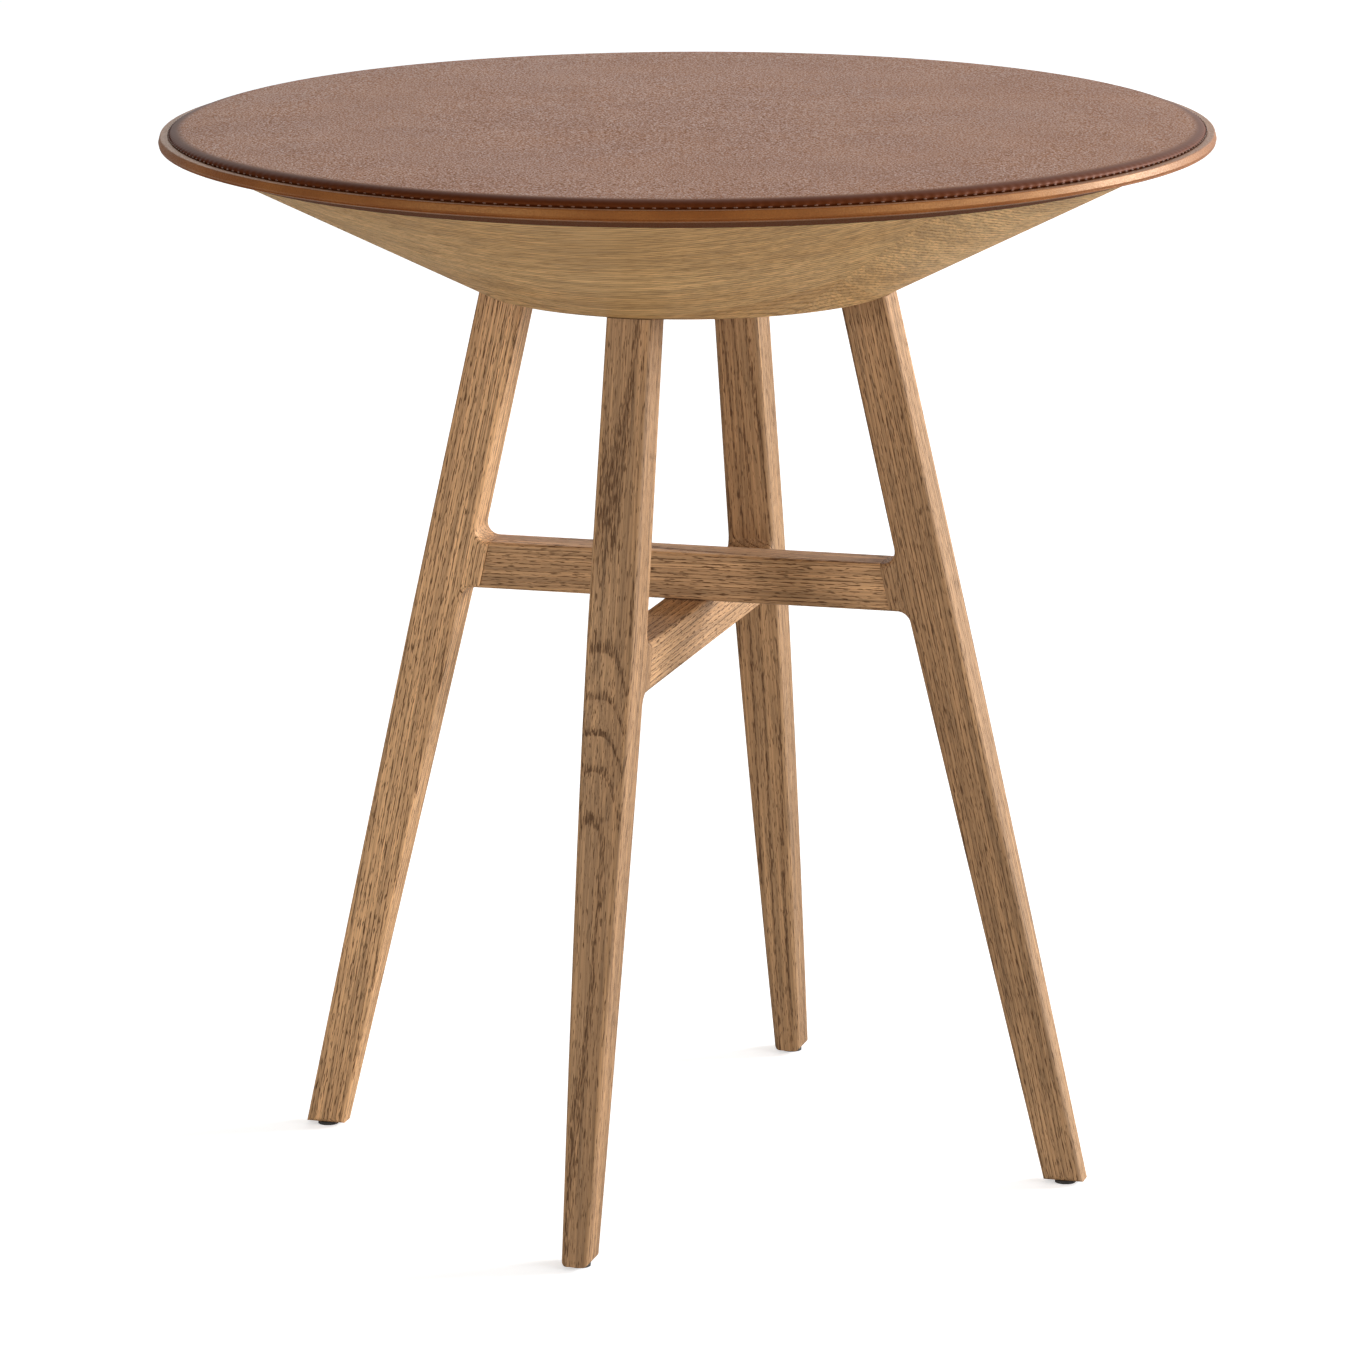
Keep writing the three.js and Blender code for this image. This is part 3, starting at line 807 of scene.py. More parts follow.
def arc(
    centre: tuple[float, float], radius: float, start: float, end: float, steps: int
) -> Outline:
    """Gives the points of a round corner, from its start to its end in degrees."""
    angles = [math.radians(start + (end - start) * step / steps) for step in range(steps + 1)]
    return [(centre[0] + radius * math.cos(a), centre[1] + radius * math.sin(a)) for a in angles]


def bevel(bm: Mesh, edges: list[bmesh.types.BMEdge], width: float, segments: int) -> None:
    """Rounds some edges, with a round that reaches so wide from each edge."""
    bmesh.ops.bevel(
        bm, geom=edges, offset=width, segments=segments, profile=0.5, affect="EDGES", material=-1,
        clamp_overlap=False,
    )


def towards(side: Side) -> Vector:
    """The level direction from the axis to a side."""
    return Vector((math.cos(side.azimuth), math.sin(side.azimuth), 0))


@dataclass
class PaddedTop:
    """The crowned pad, its stitched seam, the wrapped edge and the skirt under it, in metres."""

    workshop: Workshop
    inset: float = 0.007  # edge of the top to the belly of the pad
    crown: float = 0.0016
    shoulder_drop: float = 0.0046
    shoulder_run: float = 0.010
    tuck: float = 0.0008
    crown_shares: tuple[float, ...] = (0.0, 0.2, 0.4, 0.6, 0.76, 0.88, 0.96, 1.0)
    shoulder_steps: int = 12
    side_share: float = 0.5  # of the way down the pad's side, where its middle ring lies
    puckers: int = 300
    pucker_cuts: int = 3
    pucker_depth: float = 0.0013
    pucker_fade: float = 1.2  # power by which a pucker fades up the side
    pucker_change: float = 0.5  # share of the depth that varies round the table
    slow_waves: float = 9.0  # how often that changes round the table
    waviness: float = 0.00012
    settled_share: float = 0.42  # of the pad's height, which two opposite ends have lost
    settled_azimuth: float = math.radians(16)
    settled_reach: float = 0.11  # inwards from the belly
    settled_power: int = 6  # the higher, the narrower the settled ends
    stitch_length: float = 0.0027
    stitch_radius: float = 0.0005
    stitch_out: float = 0.0003
    stitch_rise: float = 0.0008
    gutter_width: float = 0.0012  # between the pad and the lip
    gutter_depth: float = 0.0009
    lip_round: float = 0.0004
    lip_corner: float = 0.0011
    face_lean: float = 0.0009
    face_height: float = 0.0059
    crease_depth: float = 0.0009
    crease_width: float = 0.0007
    chamfer: float = 0.0062  # how far the rim's underside leans inwards
    skirt_start: float = 0.0003  # down the cone from its rim
    skirt_width: float = 0.0134
    skirt_gap: float = 0.0001
    skirt_leather: float = 0.0009
    skirt_cut: float = 0.0013  # the dark margin along its lower edge
    skirt_round: float = 0.00025
    skirt_stain: Colour = (0.12, 0.042, 0.018)
    cut_stain: Colour = (0.02, 0.01, 0.006)
    band_steps: int = 360
    lip_end: float = 12.0  # degrees over the level, where the lip's round meets the leaning face
    # Its rim, from smooth_between outwards, takes the burnished colour with painted shade.
    pad_finish: LeatherFinish = field(default_factory=lambda: LeatherFinish(
        "Pebbled hide", roughness=0.31, specular=0.45, specular_tint=(1.0, 0.36, 0.14),
        pebble=0.0014, relief=0.00016, sparkle=0.22, smooth_between=(0.342, 0.3492),
    ))
    edge_finish: LeatherFinish = field(default_factory=lambda: LeatherFinish(
        "Waxed hide edge", roughness=0.38, specular=0.9, specular_tint=(1.0, 0.62, 0.27),
        base=(0.205, 0.054, 0.01), worn=(0.3, 0.1, 0.022), crease=(0.12, 0.035, 0.008),
        pebble=0.0011, relief=0.00006, crease_shade_strength=0.25, crease_roughness=0.15,
    ))
    thread_finish: PlainFinish = field(default_factory=lambda: PlainFinish(
        "Waxed thread", roughness=0.3, specular=0.9, base=(0.22, 0.08, 0.034),
        drift=(0.15, 0.052, 0.02),
    ))

    def __post_init__(self) -> None:
        """Reads the heights and the radius that the frame gives."""
        band_low, band_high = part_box("leather_edge_band")
        self.top_radius = band_high.x
        self.band_bottom, self.band_top = band_low.z, band_high.z
        self.crown_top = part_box("leather_cover")[1].z
        self.belly = self.top_radius - self.inset
        self.shoulder_top = self.crown_top - self.crown

    def build(self) -> None:
        """Makes the pad, the stitches and the edge."""
        pad = self.workshop.finish(
            self.pad_mesh(), "padded_top", self.pad_finish.material(), Slot.PAD_LEATHER,
            ("leather_cover", "foam_pad"), weighted=False,
        )
        self.workshop.finish(
            self.band_mesh(), "leather_edge", self.edge_finish.material(), Slot.EDGE_LEATHER,
            ("leather_edge_band",), weighted=False,
        )
        self.skirt()
        self.stitches()

    def pad_mesh(self) -> Mesh:
        """Spins the pad and gathers its side at each stitch.

        Returns:
            The mesh.
        """
        flat = self.belly - self.shoulder_run
        seam = self.band_top - self.gutter_depth / 2
        crown = [(share * flat, self.shoulder_top + self.crown * (1 - share * share))
                 for share in self.crown_shares]
        belly_height = self.shoulder_top - self.shoulder_drop
        quarter = arc((0.0, 0.0), 1.0, 90, 0, self.shoulder_steps)[1:]
        corner = [(flat + self.shoulder_run * out, belly_height + self.shoulder_drop * up)
                  for out, up in quarter]
        drop = belly_height - seam
        side = [(self.belly - self.tuck * share ** 2, belly_height - drop * share)
                for share in (self.side_share, 1.0)]
        under = [(self.belly - self.tuck * 3, seam), (0.0, seam)]
        bm = spun([*crown, *corner, *side, *under], self.puckers, closed=False)
        rings = []
        for edge in bm.edges:
            a, b = (vert.co for vert in edge.verts)
            reaches = a.xy.length, b.xy.length
            round_ring = abs(a.z - b.z) < MERGE and abs(reaches[0] - reaches[1]) < MERGE
            if round_ring and min(reaches) > flat - self.tuck:
                rings.append(edge)
        bmesh.ops.subdivide_edges(bm, edges=rings, cuts=self.pucker_cuts, use_grid_fill=True)
        self.gather(bm, seam)
        return bm

    def gather(self, bm: Mesh, seam: float) -> None:
        """Draws the pad's side in between the stitches, and settles its two worn ends.

        Args:
            bm: the pad's mesh.
            seam: the height of the seam.
        """
        reach = self.shoulder_top - seam
        for vert in bm.verts:
            radius = vert.co.xy.length
            angle = math.atan2(vert.co.y, vert.co.x)
            if radius > self.belly - self.shoulder_run:
                near = 1 - min(max((vert.co.z - seam) / reach, 0.0), 1.0)
                wave = 0.5 + 0.5 * math.cos(angle * self.puckers)
                spot = Vector((math.cos(angle), math.sin(angle), 0.0)) * self.slow_waves
                slow = noise.noise(spot)
                pucker = wave * near ** self.pucker_fade * (1 + self.pucker_change * slow)
                draw = self.pucker_depth * pucker + self.waviness * slow * near
                vert.co.xy *= (radius - draw) / radius
            outwards = min(max((radius - self.belly) / self.settled_reach + 1, 0.0), 1.0)
            end = abs(math.cos(angle - self.settled_azimuth)) ** self.settled_power
            worn = end * outwards ** 2
            vert.co.z = seam + (vert.co.z - seam) * (1 - self.settled_share * worn)

    def band_mesh(self) -> Mesh:
        """Spins the wrapped edge: its lip, its leaning face, the crease and the chamfer under it.

        Returns:
            The mesh.
        """
        low, high, face = self.band_bottom, self.band_top, self.top_radius
        corner = self.lip_corner
        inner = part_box("top_board")[1].x - (high - low)
        gutter = self.belly - self.tuck + self.gutter_width
        crease = high - self.face_height
        swell = crease - self.crease_width
        turned = face - self.crease_depth / 2
        return spun([
            (inner, high - self.gutter_depth),
            (gutter - self.lip_round, high - self.gutter_depth),
            (gutter, high - self.gutter_depth + self.lip_round),
            (gutter, high - self.lip_round),
            (gutter + self.lip_round, high),
            *arc((face - self.face_lean - corner, high - corner), corner, 90, self.lip_end, 8),
            (face, crease + self.crease_width * 2),
            (face - self.crease_depth / 4, crease + self.crease_width),
            (face - self.crease_depth / 2, crease + self.crease_width / 3),
            (face - self.crease_depth, crease - self.crease_width / 4),
            (turned, swell),
            (turned - self.lip_round, swell - self.lip_round),
            (face - self.chamfer, low + self.lip_round / 2),
            (face - self.chamfer - self.lip_round, low),
            (inner, low),
        ], self.band_steps, closed=True)

    def skirt(self) -> None:
        """Lays a thin strip of leather on the upper margin of the cone, under the rim."""
        foot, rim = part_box("cone_segment_right")
        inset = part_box("leather_edge_band")[1].x - CONE_INSET
        down = Vector((CONE_FOOT - inset, foot.z - rim.z)).normalized()
        out = Vector((-down.y, down.x))
        start, end = self.skirt_start, self.skirt_width
        inner, rounded = self.skirt_gap, self.skirt_round
        outer = inner + self.skirt_leather
        places = [(start, inner), (end, inner), (end, outer - rounded), (end - rounded, outer),
                  (start + rounded, outer), (start, outer - rounded)]
        profile = [Vector((inset, rim.z)) + down * along + out * lift for along, lift in places]
        cut = (Vector((inset, rim.z)) + down * (end - self.skirt_cut) + out * outer).y
        hide = replace(
            self.edge_finish, name="Stained hide skirt", specular=0.08, roughness=0.6,
            base=self.skirt_stain, worn=self.skirt_stain, stained_below=(cut, self.cut_stain),
        )
        bm = spun([tuple(point) for point in profile], self.band_steps, closed=True)
        self.workshop.finish(bm, "leather_skirt", hide.material(), Slot.EDGE_LEATHER, (),
                             weighted=False)

    def stitches(self) -> None:
        """Lays a stitch between each two puckers, along the seam."""
        bm = bmesh.new()
        pitch = math.tau / self.puckers
        place = Vector((self.belly + self.stitch_out, 0.0, self.band_top + self.stitch_rise))
        thin = self.stitch_radius
        shape = Matrix.Diagonal((thin, self.stitch_length / 2, thin, 1.0))
        lie = Matrix.Rotation(pitch / 2, 4, "Z") @ Matrix.Translation(place) @ shape
        bmesh.ops.create_uvsphere(bm, u_segments=6, v_segments=5, radius=1.0, matrix=lie)
        spin(bm, whole(bm), math.tau - pitch, self.puckers - 1, copies=True)
        thread = self.thread_finish.material()
        self.workshop.finish(bm, "seam_stitches", thread, Slot.PAD_LEATHER, (), weighted=False)


@dataclass
class OakCone:
    """The four mitred oak quarters under the top, and the disc in their floor, in metres."""

    workshop: Workshop
    inset: float = CONE_INSET
    rim: float = 0.0413
    rebate_depth: float = 0.0102
    bottom_radius: float = CONE_FOOT
    wall: float = 0.029
    floor_bore: float = 0.070
    plug_gap: float = 0.0003
    mitre_gap: float = 0.00012
    edge_round: float = 0.0007
    steps: int = 96
    cut_overlap: float = math.radians(1)  # spun past each mitre, which is then cut
    glue_distance: float = 0.150
    board_shift: tuple[float, float, float] = (0.31, 0.03, 0.018)  # between the boards' logs
    plug_slant: float = 0.05  # sideways run of the disc's grain
    plug_pith: tuple[float, float] = (0.03, 0.06)  # aside of the axis, and under the disc
    pith_depth: float = 0.05  # square to the slope, out from its middle
    pith_inwards: float = 0.17  # down the slope from its middle
    grain_tilt: float = 0.02
    figure: Figure = Figure(
        "Cone figure", wander_scale=(3.0, 7.0, 7.0), pore_fineness=900.0,
        fibre_scale=(7.0, 520.0, 520.0), streak_scale=(2.0, 150.0, 150.0), early_share=0.5,
    )

    def __post_init__(self) -> None:
        """Reads the heights and radii that the frame gives."""
        low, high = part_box("cone_segment_right")
        self.bottom, self.top = low.z, high.z
        self.top_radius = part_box("leather_edge_band")[1].x - self.inset
        self.plug_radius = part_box("cone_floor_plug")[1].x
        self.plug_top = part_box("cone_floor_plug")[1].z

    def build(self) -> None:
        """Makes the quarters and the disc."""
        for side in Side:
            self.workshop.finish(
                self.quarter_mesh(), f"oak_cone_{side.label}", self.quarter_finish(side).material(),
                Slot.CONE_OAK, (f"cone_segment_{side.label}",), turn=side.turn,
            )
        self.workshop.finish(
            self.plug_mesh(), "oak_cone_disc", self.plug_finish().material(), Slot.CONE_OAK,
            ("cone_floor_plug",),
        )

    def quarter_mesh(self) -> Mesh:
        """Spins a quarter of the cone's section, open inside as the frame's is.

        Returns:
            The mesh, centred on +X.
        """
        rebate = self.top_radius - self.rim
        ledge = self.top - self.rebate_depth
        run = (self.top_radius - self.bottom_radius) / (self.top - self.bottom)
        floor = self.bottom + self.wall
        bm = bmesh.new()
        verts = profile_points(bm, [
            (self.bottom_radius, self.bottom),
            (self.top_radius, self.top),
            (rebate, self.top),
            (rebate, ledge),
            (self.bottom_radius + (ledge - floor) * run, ledge),
            (self.bottom_radius, floor),
            (self.floor_bore, floor),
            (self.floor_bore, self.plug_top + self.plug_gap),
            (self.plug_radius + self.plug_gap, self.plug_top + self.plug_gap),
            (self.plug_radius + self.plug_gap, self.bottom),
        ])
        bm.faces.new(verts)
        start = Matrix.Rotation(-math.pi / 4 - self.cut_overlap, 3, "Z")
        bmesh.ops.rotate(bm, verts=bm.verts, matrix=start)
        spin(bm, whole(bm), math.pi / 2 + self.cut_overlap * 2, self.steps)
        for way in (1, -1):
            across = Vector((-math.sin(math.pi / 4), way * math.cos(math.pi / 4), 0))
            cut = bmesh.ops.bisect_plane(
                bm, geom=whole(bm), dist=MERGE, plane_co=across * -self.mitre_gap, plane_no=across,
                clear_outer=True,
            )
            rim = [edge for edge in cut["geom_cut"] if isinstance(edge, bmesh.types.BMEdge)]
            bmesh.ops.edgeloop_fill(bm, edges=rim)
        bmesh.ops.recalc_face_normals(bm, faces=bm.faces)
        self.soften(bm)
        return bm

    def soften(self, bm: Mesh) -> None:
        """Eases the cone's sharp lower edge and its upper edge.

        Args:
            bm: a quarter's mesh.
        """
        places = ((self.bottom_radius, self.bottom), (self.top_radius, self.top))
        rounds = []
        for edge in bm.edges:
            for radius, height in places:
                if all(abs(vert.co.xy.length - radius) < NEAR and abs(vert.co.z - height) < MERGE
                       for vert in edge.verts):
                    rounds.append(edge)
        bevel(bm, rounds, self.edge_round, 2)

    def quarter_finish(self, side: Side) -> OakFinish:
        """Gives a quarter its boards.

        Args:
            side: which quarter.

        Returns:
            Its finish.
        """
        facing = towards(side)
        chord = Vector((-facing.y, facing.x, 0))
        tilt = self.grain_tilt * (1 if side.value % 2 else -1)
        along = (chord + Vector((0, 0, tilt)) + facing * tilt * 0.5).normalized()
        slope = math.atan2(self.top - self.bottom, self.top_radius - self.bottom_radius)
        middle = facing * (self.bottom_radius + self.top_radius) / 2
        middle += Vector((0, 0, (self.bottom + self.top) / 2))
        square = facing * math.sin(slope) - Vector((0, 0, math.cos(slope)))
        inwards = facing * -math.cos(slope) - Vector((0, 0, math.sin(slope)))
        pith = middle + square * self.pith_depth + inwards * self.pith_inwards
        glue = GlueLine(facing, self.glue_distance, Vector(self.board_shift))
        finish = self.board_finish(f"Cone oak {side.label}")
        return replace(finish, log=Log(along, pith), glue=glue)

    def board_finish(self, name: str) -> OakFinish:
        """Gives the cone's boards their common finish.

        Args:
            name: the finish's name.

        Returns:
            The finish, whose log is still to be set.
        """
        return OakFinish(
            name, figure=self.figure, light=(0.66, 0.405, 0.175), deep=(0.56, 0.325, 0.13),
            early=(0.4, 0.215, 0.08), pore=(0.22, 0.11, 0.04), ring_width=0.0036, ring_strength=0.6,
            pore_strength=0.45, pore_length=0.016, fleck_strength=0.12, wander=0.012,
            fibre_strength=0.22, streak_strength=0.16,
        )

    def plug_mesh(self) -> Mesh:
        """Makes the disc that closes the cone's floor.

        Returns:
            The mesh.
        """
        thickness = self.plug_top - self.bottom
        bm = bmesh.new()
        bmesh.ops.create_cone(
            bm, cap_ends=True, cap_tris=False, segments=160, radius1=self.plug_radius,
            radius2=self.plug_radius, depth=thickness,
        )
        bmesh.ops.translate(bm, verts=bm.verts, vec=(0, 0, self.bottom + thickness / 2))
        rims = [edge for edge in bm.edges if abs(edge.verts[0].co.z - edge.verts[1].co.z) < MERGE]
        bevel(bm, rims, self.edge_round, 2)
        return bm

    def plug_finish(self) -> OakFinish:
        """Gives the disc its board.

        Returns:
            Its finish.
        """
        aside, under = self.plug_pith
        log = Log(Vector((1, self.plug_slant, 0)), Vector((0, aside, self.bottom - under)))
        return replace(self.board_finish("Cone oak disc"), log=log)


@dataclass(frozen=True)
class LegBoard:
    """How a leg's board was cut."""

    tilt: float  # of its grain, out from the leg's lean
    aside: float  # of its pith, across the leg
    tone: float  # how light it is, next to the finish's usual boards
    pith_way: int = 1  # 1 where the pith lies outside the leg, and -1 inside
    sweep: float = 0.0  # metres that its grain bends outwards


@dataclass
class Understructure:
    """The four legs with their shoulders, and the two stretchers. Sizes are in metres."""

    workshop: Workshop
    foot_reach: float = 0.285  # axis to the outer face of a leg, at the floor
    cone_radius: float = 0.144  # axis to the outer face of a leg, under the cone
    foot_width: float = 0.028
    knee_width: float = 0.034
    foot_thickness: float = 0.019
    knee_thickness: float = 0.034
    head_thickness: float = 0.032
    arris: float = 0.004
    stub: float = 0.012
    fillet: float = 0.009
    swell_power: float = 1.4
    stretcher_thickness: float = 0.032
    stretcher_arris: float = 0.003
    seat: float = 0.0003
    arris_segments: int = 5
    fillet_segments: int = 10
    shin_slices: int = 14
    thigh_slices: int = 5
    pith_out: float = 0.075
    stretcher_tilt: float = 0.012  # rise of the grain over its run
    stretcher_cuts: tuple[tuple[float, float], ...] = (  # the pith's way aside, and the flecks
        (0.012, 0.2),
        (0.05, 0.5),
    )
    stretcher_tone: float = 1.12
    fillet_clear: float = 1.4  # times the fillet, where the slices start
    flank_slant: float = 0.7  # sideways part of a normal from which a face is a side face
    leg_boards: tuple[LegBoard, ...] = (  # in the order of the sides
        LegBoard(0.006, 0.035, 0.88),
        LegBoard(-0.01, -0.02, 0.82),
        LegBoard(0.012, -0.045, 1.32),
        LegBoard(0.004, -0.005, 0.94, pith_way=-1, sweep=0.011),
    )
    sweep_span: tuple[float, float] = (-0.06, 0.10)

    def __post_init__(self) -> None:
        """Reads the heights that the frame gives."""
        self.sole, self.head = (corner.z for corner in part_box("leg_right"))
        self.cone_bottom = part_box("cone_segment_right")[0].z
        self.levels = {
            0: tuple(corner.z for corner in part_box("stretcher_upper")),
            1: tuple(corner.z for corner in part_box("stretcher_lower")),
        }
        self.crossing = (self.levels[0][0] + self.levels[1][1]) / 2
        self.lean = (self.foot_reach - self.cone_radius) / self.cone_bottom

    def outer(self, height: float) -> float:
        """The distance of a leg's outer face from the axis at a height."""
        return self.foot_reach - self.lean * height

    def inner(self, height: float) -> float:
        """The distance of a leg's inner face from the axis at a height."""
        share = min(height / self.crossing, 1.0)
        return self.outer(height) - self.foot_width - (self.knee_width - self.foot_width) * share

    def joint(self, height: float) -> float:
        """The distance of a shoulder's end from the axis at a height."""
        return self.outer(height) - self.knee_width - self.stub

    def thickness(self, height: float) -> float:
        """A leg's thickness at a height.

        Args:
            height: the height over the floor.

        Returns:
            The thickness.
        """
        if height < self.crossing:
            fill = 1 - (1 - height / self.crossing) ** self.swell_power
            return self.foot_thickness + (self.knee_thickness - self.foot_thickness) * fill
        rise = (height - self.crossing) / (self.head - self.crossing)
        return self.knee_thickness + (self.head_thickness - self.knee_thickness) * rise

    def build(self) -> None:
        """Makes the legs and the stretchers."""
        for side in Side:
            level = side.value % 2
            self.workshop.finish(
                self.leg_mesh(*self.levels[level]), f"oak_leg_{side.label}",
                self.leg_finish(side).material(), Slot.LEG_OAK, (f"leg_{side.label}",),
                turn=side.turn,
            )
        for level, name in enumerate(("upper", "lower")):
            side = Side(level)
            self.workshop.finish(
                self.stretcher_mesh(*self.levels[level]), f"oak_stretcher_{name}",
                self.stretcher_finish(side, level).material(), Slot.LEG_OAK,
                (f"stretcher_{name}",), turn=side.turn,
            )

    def leg_mesh(self, bottom: float, top: float) -> Mesh:
        """Cuts a leg from its side outline, rounds its shoulder, tapers it and eases its arrises.

        Args:
            bottom: the lower face of the shoulder.
            top: its upper face.

        Returns:
            The mesh of a leg at +X.
        """
        bm = bmesh.new()
        outline = profile_points(bm, [
            (self.outer(self.sole), self.sole),
            (self.outer(self.head), self.head),
            (self.inner(self.head), self.head),
            (self.inner(top), top),
            (self.joint(top), top),
            (self.joint(bottom), bottom),
            (self.inner(bottom), bottom),
            (self.inner(self.sole), self.sole),
        ])
        plate = bmesh.ops.extrude_face_region(bm, geom=[bm.faces.new(outline)])
        moved = [part for part in plate["geom"] if isinstance(part, bmesh.types.BMVert)]
        bmesh.ops.translate(bm, verts=moved, vec=(0, 1, 0))
        bmesh.ops.translate(bm, verts=bm.verts, vec=(0, -0.5, 0))
        self.round_shoulder(bm, bottom, top)
        self.taper(bm, bottom, top)
        bevel(bm, self.arrises(bm, bottom, top), self.arris, self.arris_segments)
        return bm

    def round_shoulder(self, bm: Mesh, bottom: float, top: float) -> None:
        """Rounds the two hollow corners of the shoulder.

        Args:
            bm: the leg's plate.
            bottom: the lower face of the shoulder.
            top: its upper face.
        """
        for height, way in ((bottom, 1), (top, -1)):
            corner = Vector((self.inner(height), height))
            open_angle = math.pi / 2 + way * math.atan(self.lean)
            edges = [edge for edge in bm.edges
                     if all((vert.co.xz - corner).length < MERGE for vert in edge.verts)]
            bevel(bm, edges, self.fillet / math.tan(open_angle / 2), self.fillet_segments)

    def taper(self, bm: Mesh, bottom: float, top: float) -> None:
        """Slices the plate and sets each slice's thickness.

        Args:
            bm: the leg's plate.
            bottom: the lower face of the shoulder.
            top: its upper face.
        """
        shin = bottom - self.fillet * self.fillet_clear
        thigh = top + self.fillet * self.fillet_clear
        below, above = range(1, self.shin_slices + 1), range(self.thigh_slices)
        cuts = [self.sole + (shin - self.sole) * step / self.shin_slices for step in below]
        cuts += [thigh + (self.head - thigh) * step / self.thigh_slices for step in above]
        for height in cuts:
            bmesh.ops.bisect_plane(
                bm, geom=whole(bm), dist=MERGE, plane_co=(0, 0, height), plane_no=(0, 0, 1),
            )
        for vert in bm.verts:
            vert.co.y *= self.thickness(vert.co.z)

    def arrises(self, bm: Mesh, bottom: float, top: float) -> list[bmesh.types.BMEdge]:
        """Finds the edges to ease: all round both side faces, but not at the head or the joint.

        Args:
            bm: the tapered leg.
            bottom: the lower face of the shoulder.
            top: its upper face.

        Returns:
            The edges.
        """
        bm.normal_update()
        found = []
        for edge in bm.edges:
            flanks = [face for face in edge.link_faces if abs(face.normal.y) > self.flank_slant]
            others = [face for face in edge.link_faces if face not in flanks]
            if len(flanks) != 1 or len(others) != 1:
                continue
            middle = others[0].calc_center_median()
            at_head = middle.z > self.head - MERGE
            at_joint = bottom < middle.z < top and middle.x < self.joint(middle.z) + MERGE
            if not at_head and not at_joint:
                found.append(edge)
        return found

    def stretcher_mesh(self, bottom: float, top: float) -> Mesh:
        """Planes a stretcher with its slanted ends.

        Args:
            bottom: its lower face.
            top: its upper face.

        Returns:
            The mesh of a stretcher along X.
        """
        bm = bmesh.new()
        bmesh.ops.create_cube(bm, size=1.0)
        bmesh.ops.scale(bm, vec=(1, self.stretcher_thickness, top - bottom), verts=bm.verts)
        bmesh.ops.translate(bm, vec=(0, 0, (top + bottom) / 2), verts=bm.verts)
        for vert in bm.verts:
            vert.co.x = math.copysign(self.joint(vert.co.z) - self.seat, vert.co.x)
        long_edges = [edge for edge in bm.edges
                      if abs(edge.verts[0].co.x - edge.verts[1].co.x) > self.joint(top)]
        bevel(bm, long_edges, self.stretcher_arris, self.arris_segments)
        return bm

    def leg_finish(self, side: Side) -> OakFinish:
        """Gives a leg its board.

        Args:
            side: which leg.

        Returns:
            Its finish.
        """
        board = self.leg_boards[side.value]
        out = towards(side)
        across = Vector((-out.y, out.x, 0))
        along = Vector((0, 0, 1)) - out * (self.lean - board.tilt)
        middle = (self.sole + self.head) / 2
        centre = out * (self.outer(middle) - self.knee_width / 2) + Vector((0, 0, middle))
        pith = centre + out * self.pith_out * board.pith_way + across * board.aside
        sweep = out * board.sweep if board.sweep else None
        log = Log(along, pith, sweep, self.sweep_span)
        return OakFinish(f"Leg oak {side.label}", log=log, tone=board.tone)

    def stretcher_finish(self, side: Side, level: int) -> OakFinish:
        """Gives a stretcher its board.

        Args:
            side: the side that its first end points to.
            level: 0 for the upper stretcher and 1 for the lower.

        Returns:
            Its finish.
        """
        along = towards(side) + Vector((0, 0, self.stretcher_tilt))
        across = Vector((-along.y, along.x, 0))
        aside, flecks = self.stretcher_cuts[level]
        pith = across * aside + Vector((0, 0, self.crossing - self.pith_out))
        return OakFinish(f"Stretcher oak {level}", log=Log(along, pith), fleck_strength=flecks,
                         tone=self.stretcher_tone)


@dataclass
class Hardware:
    """The small pieces that the frame already has in their right shapes."""

    workshop: Workshop
    steel: PlainFinish = PlainFinish(
        "Zinc plated steel", roughness=0.34, base=(0.62, 0.63, 0.65), drift=(0.5, 0.51, 0.53),
        metallic=1.0, grain_scale=(1800.0, 240.0, 240.0),
    )
    nylon: PlainFinish = PlainFinish(
        "Black nylon", roughness=0.6, base=(0.03, 0.026, 0.023), drift=(0.045, 0.04, 0.036),
    )
    plywood: OakFinish = OakFinish(
        "Birch plywood", roughness=0.6, log=Log(Vector((1, 0, 0)), Vector((0, 0, 0.2))),
        light=(0.58, 0.43, 0.27), deep=(0.5, 0.35, 0.2), early=(0.4, 0.26, 0.14),
        pore=(0.3, 0.18, 0.09), ring_width=0.0016, pore_strength=0.15,
    )
    beech: OakFinish = OakFinish(
        "Beech", roughness=0.55, log=Log(Vector((1, 0, 0)), Vector((0, 0.1, 0.3))),
        light=(0.6, 0.41, 0.25), deep=(0.52, 0.34, 0.19), early=(0.42, 0.25, 0.13),
        pore=(0.3, 0.16, 0.08), ring_width=0.0022, pore_strength=0.2,
    )
    plug: OakFinish = OakFinish("Oak plug", log=Log(Vector((1, 0.1, 0)), Vector((0, 0.02, 0.3))))

    def build(self) -> None:
        """Dresses every node of the frame that no piece stands for."""
        metal = ("top_clip", "clip_screw", "leg_bolt", "leg_washer", "leg_insert", "crossing_screw")
        for finish, starts in (
            (self.steel, metal),
            (self.nylon, ("foot_glide",)),
            (self.plywood, ("mitre_spline", "top_board")),
            (self.beech, ("dowel",)),
            (self.plug, ("crossing_plug",)),
        ):
            material = finish.material()
            for node in sorted(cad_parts):
                if node.startswith(starts):
                    self.workshop.dress(node, material)


@dataclass(frozen=True)
class Lamp:
    """A soft light that points at the middle of the table, in metres and degrees."""

    name: str
    azimuth: float  # from +X
    elevation: float  # over the horizon
    distance: float
    size: tuple[float, float]  # width and height of its face
    strength: float  # share of a white wall's brightness that it gives to what faces it
    colour: Colour = (1.0, 1.0, 1.0)


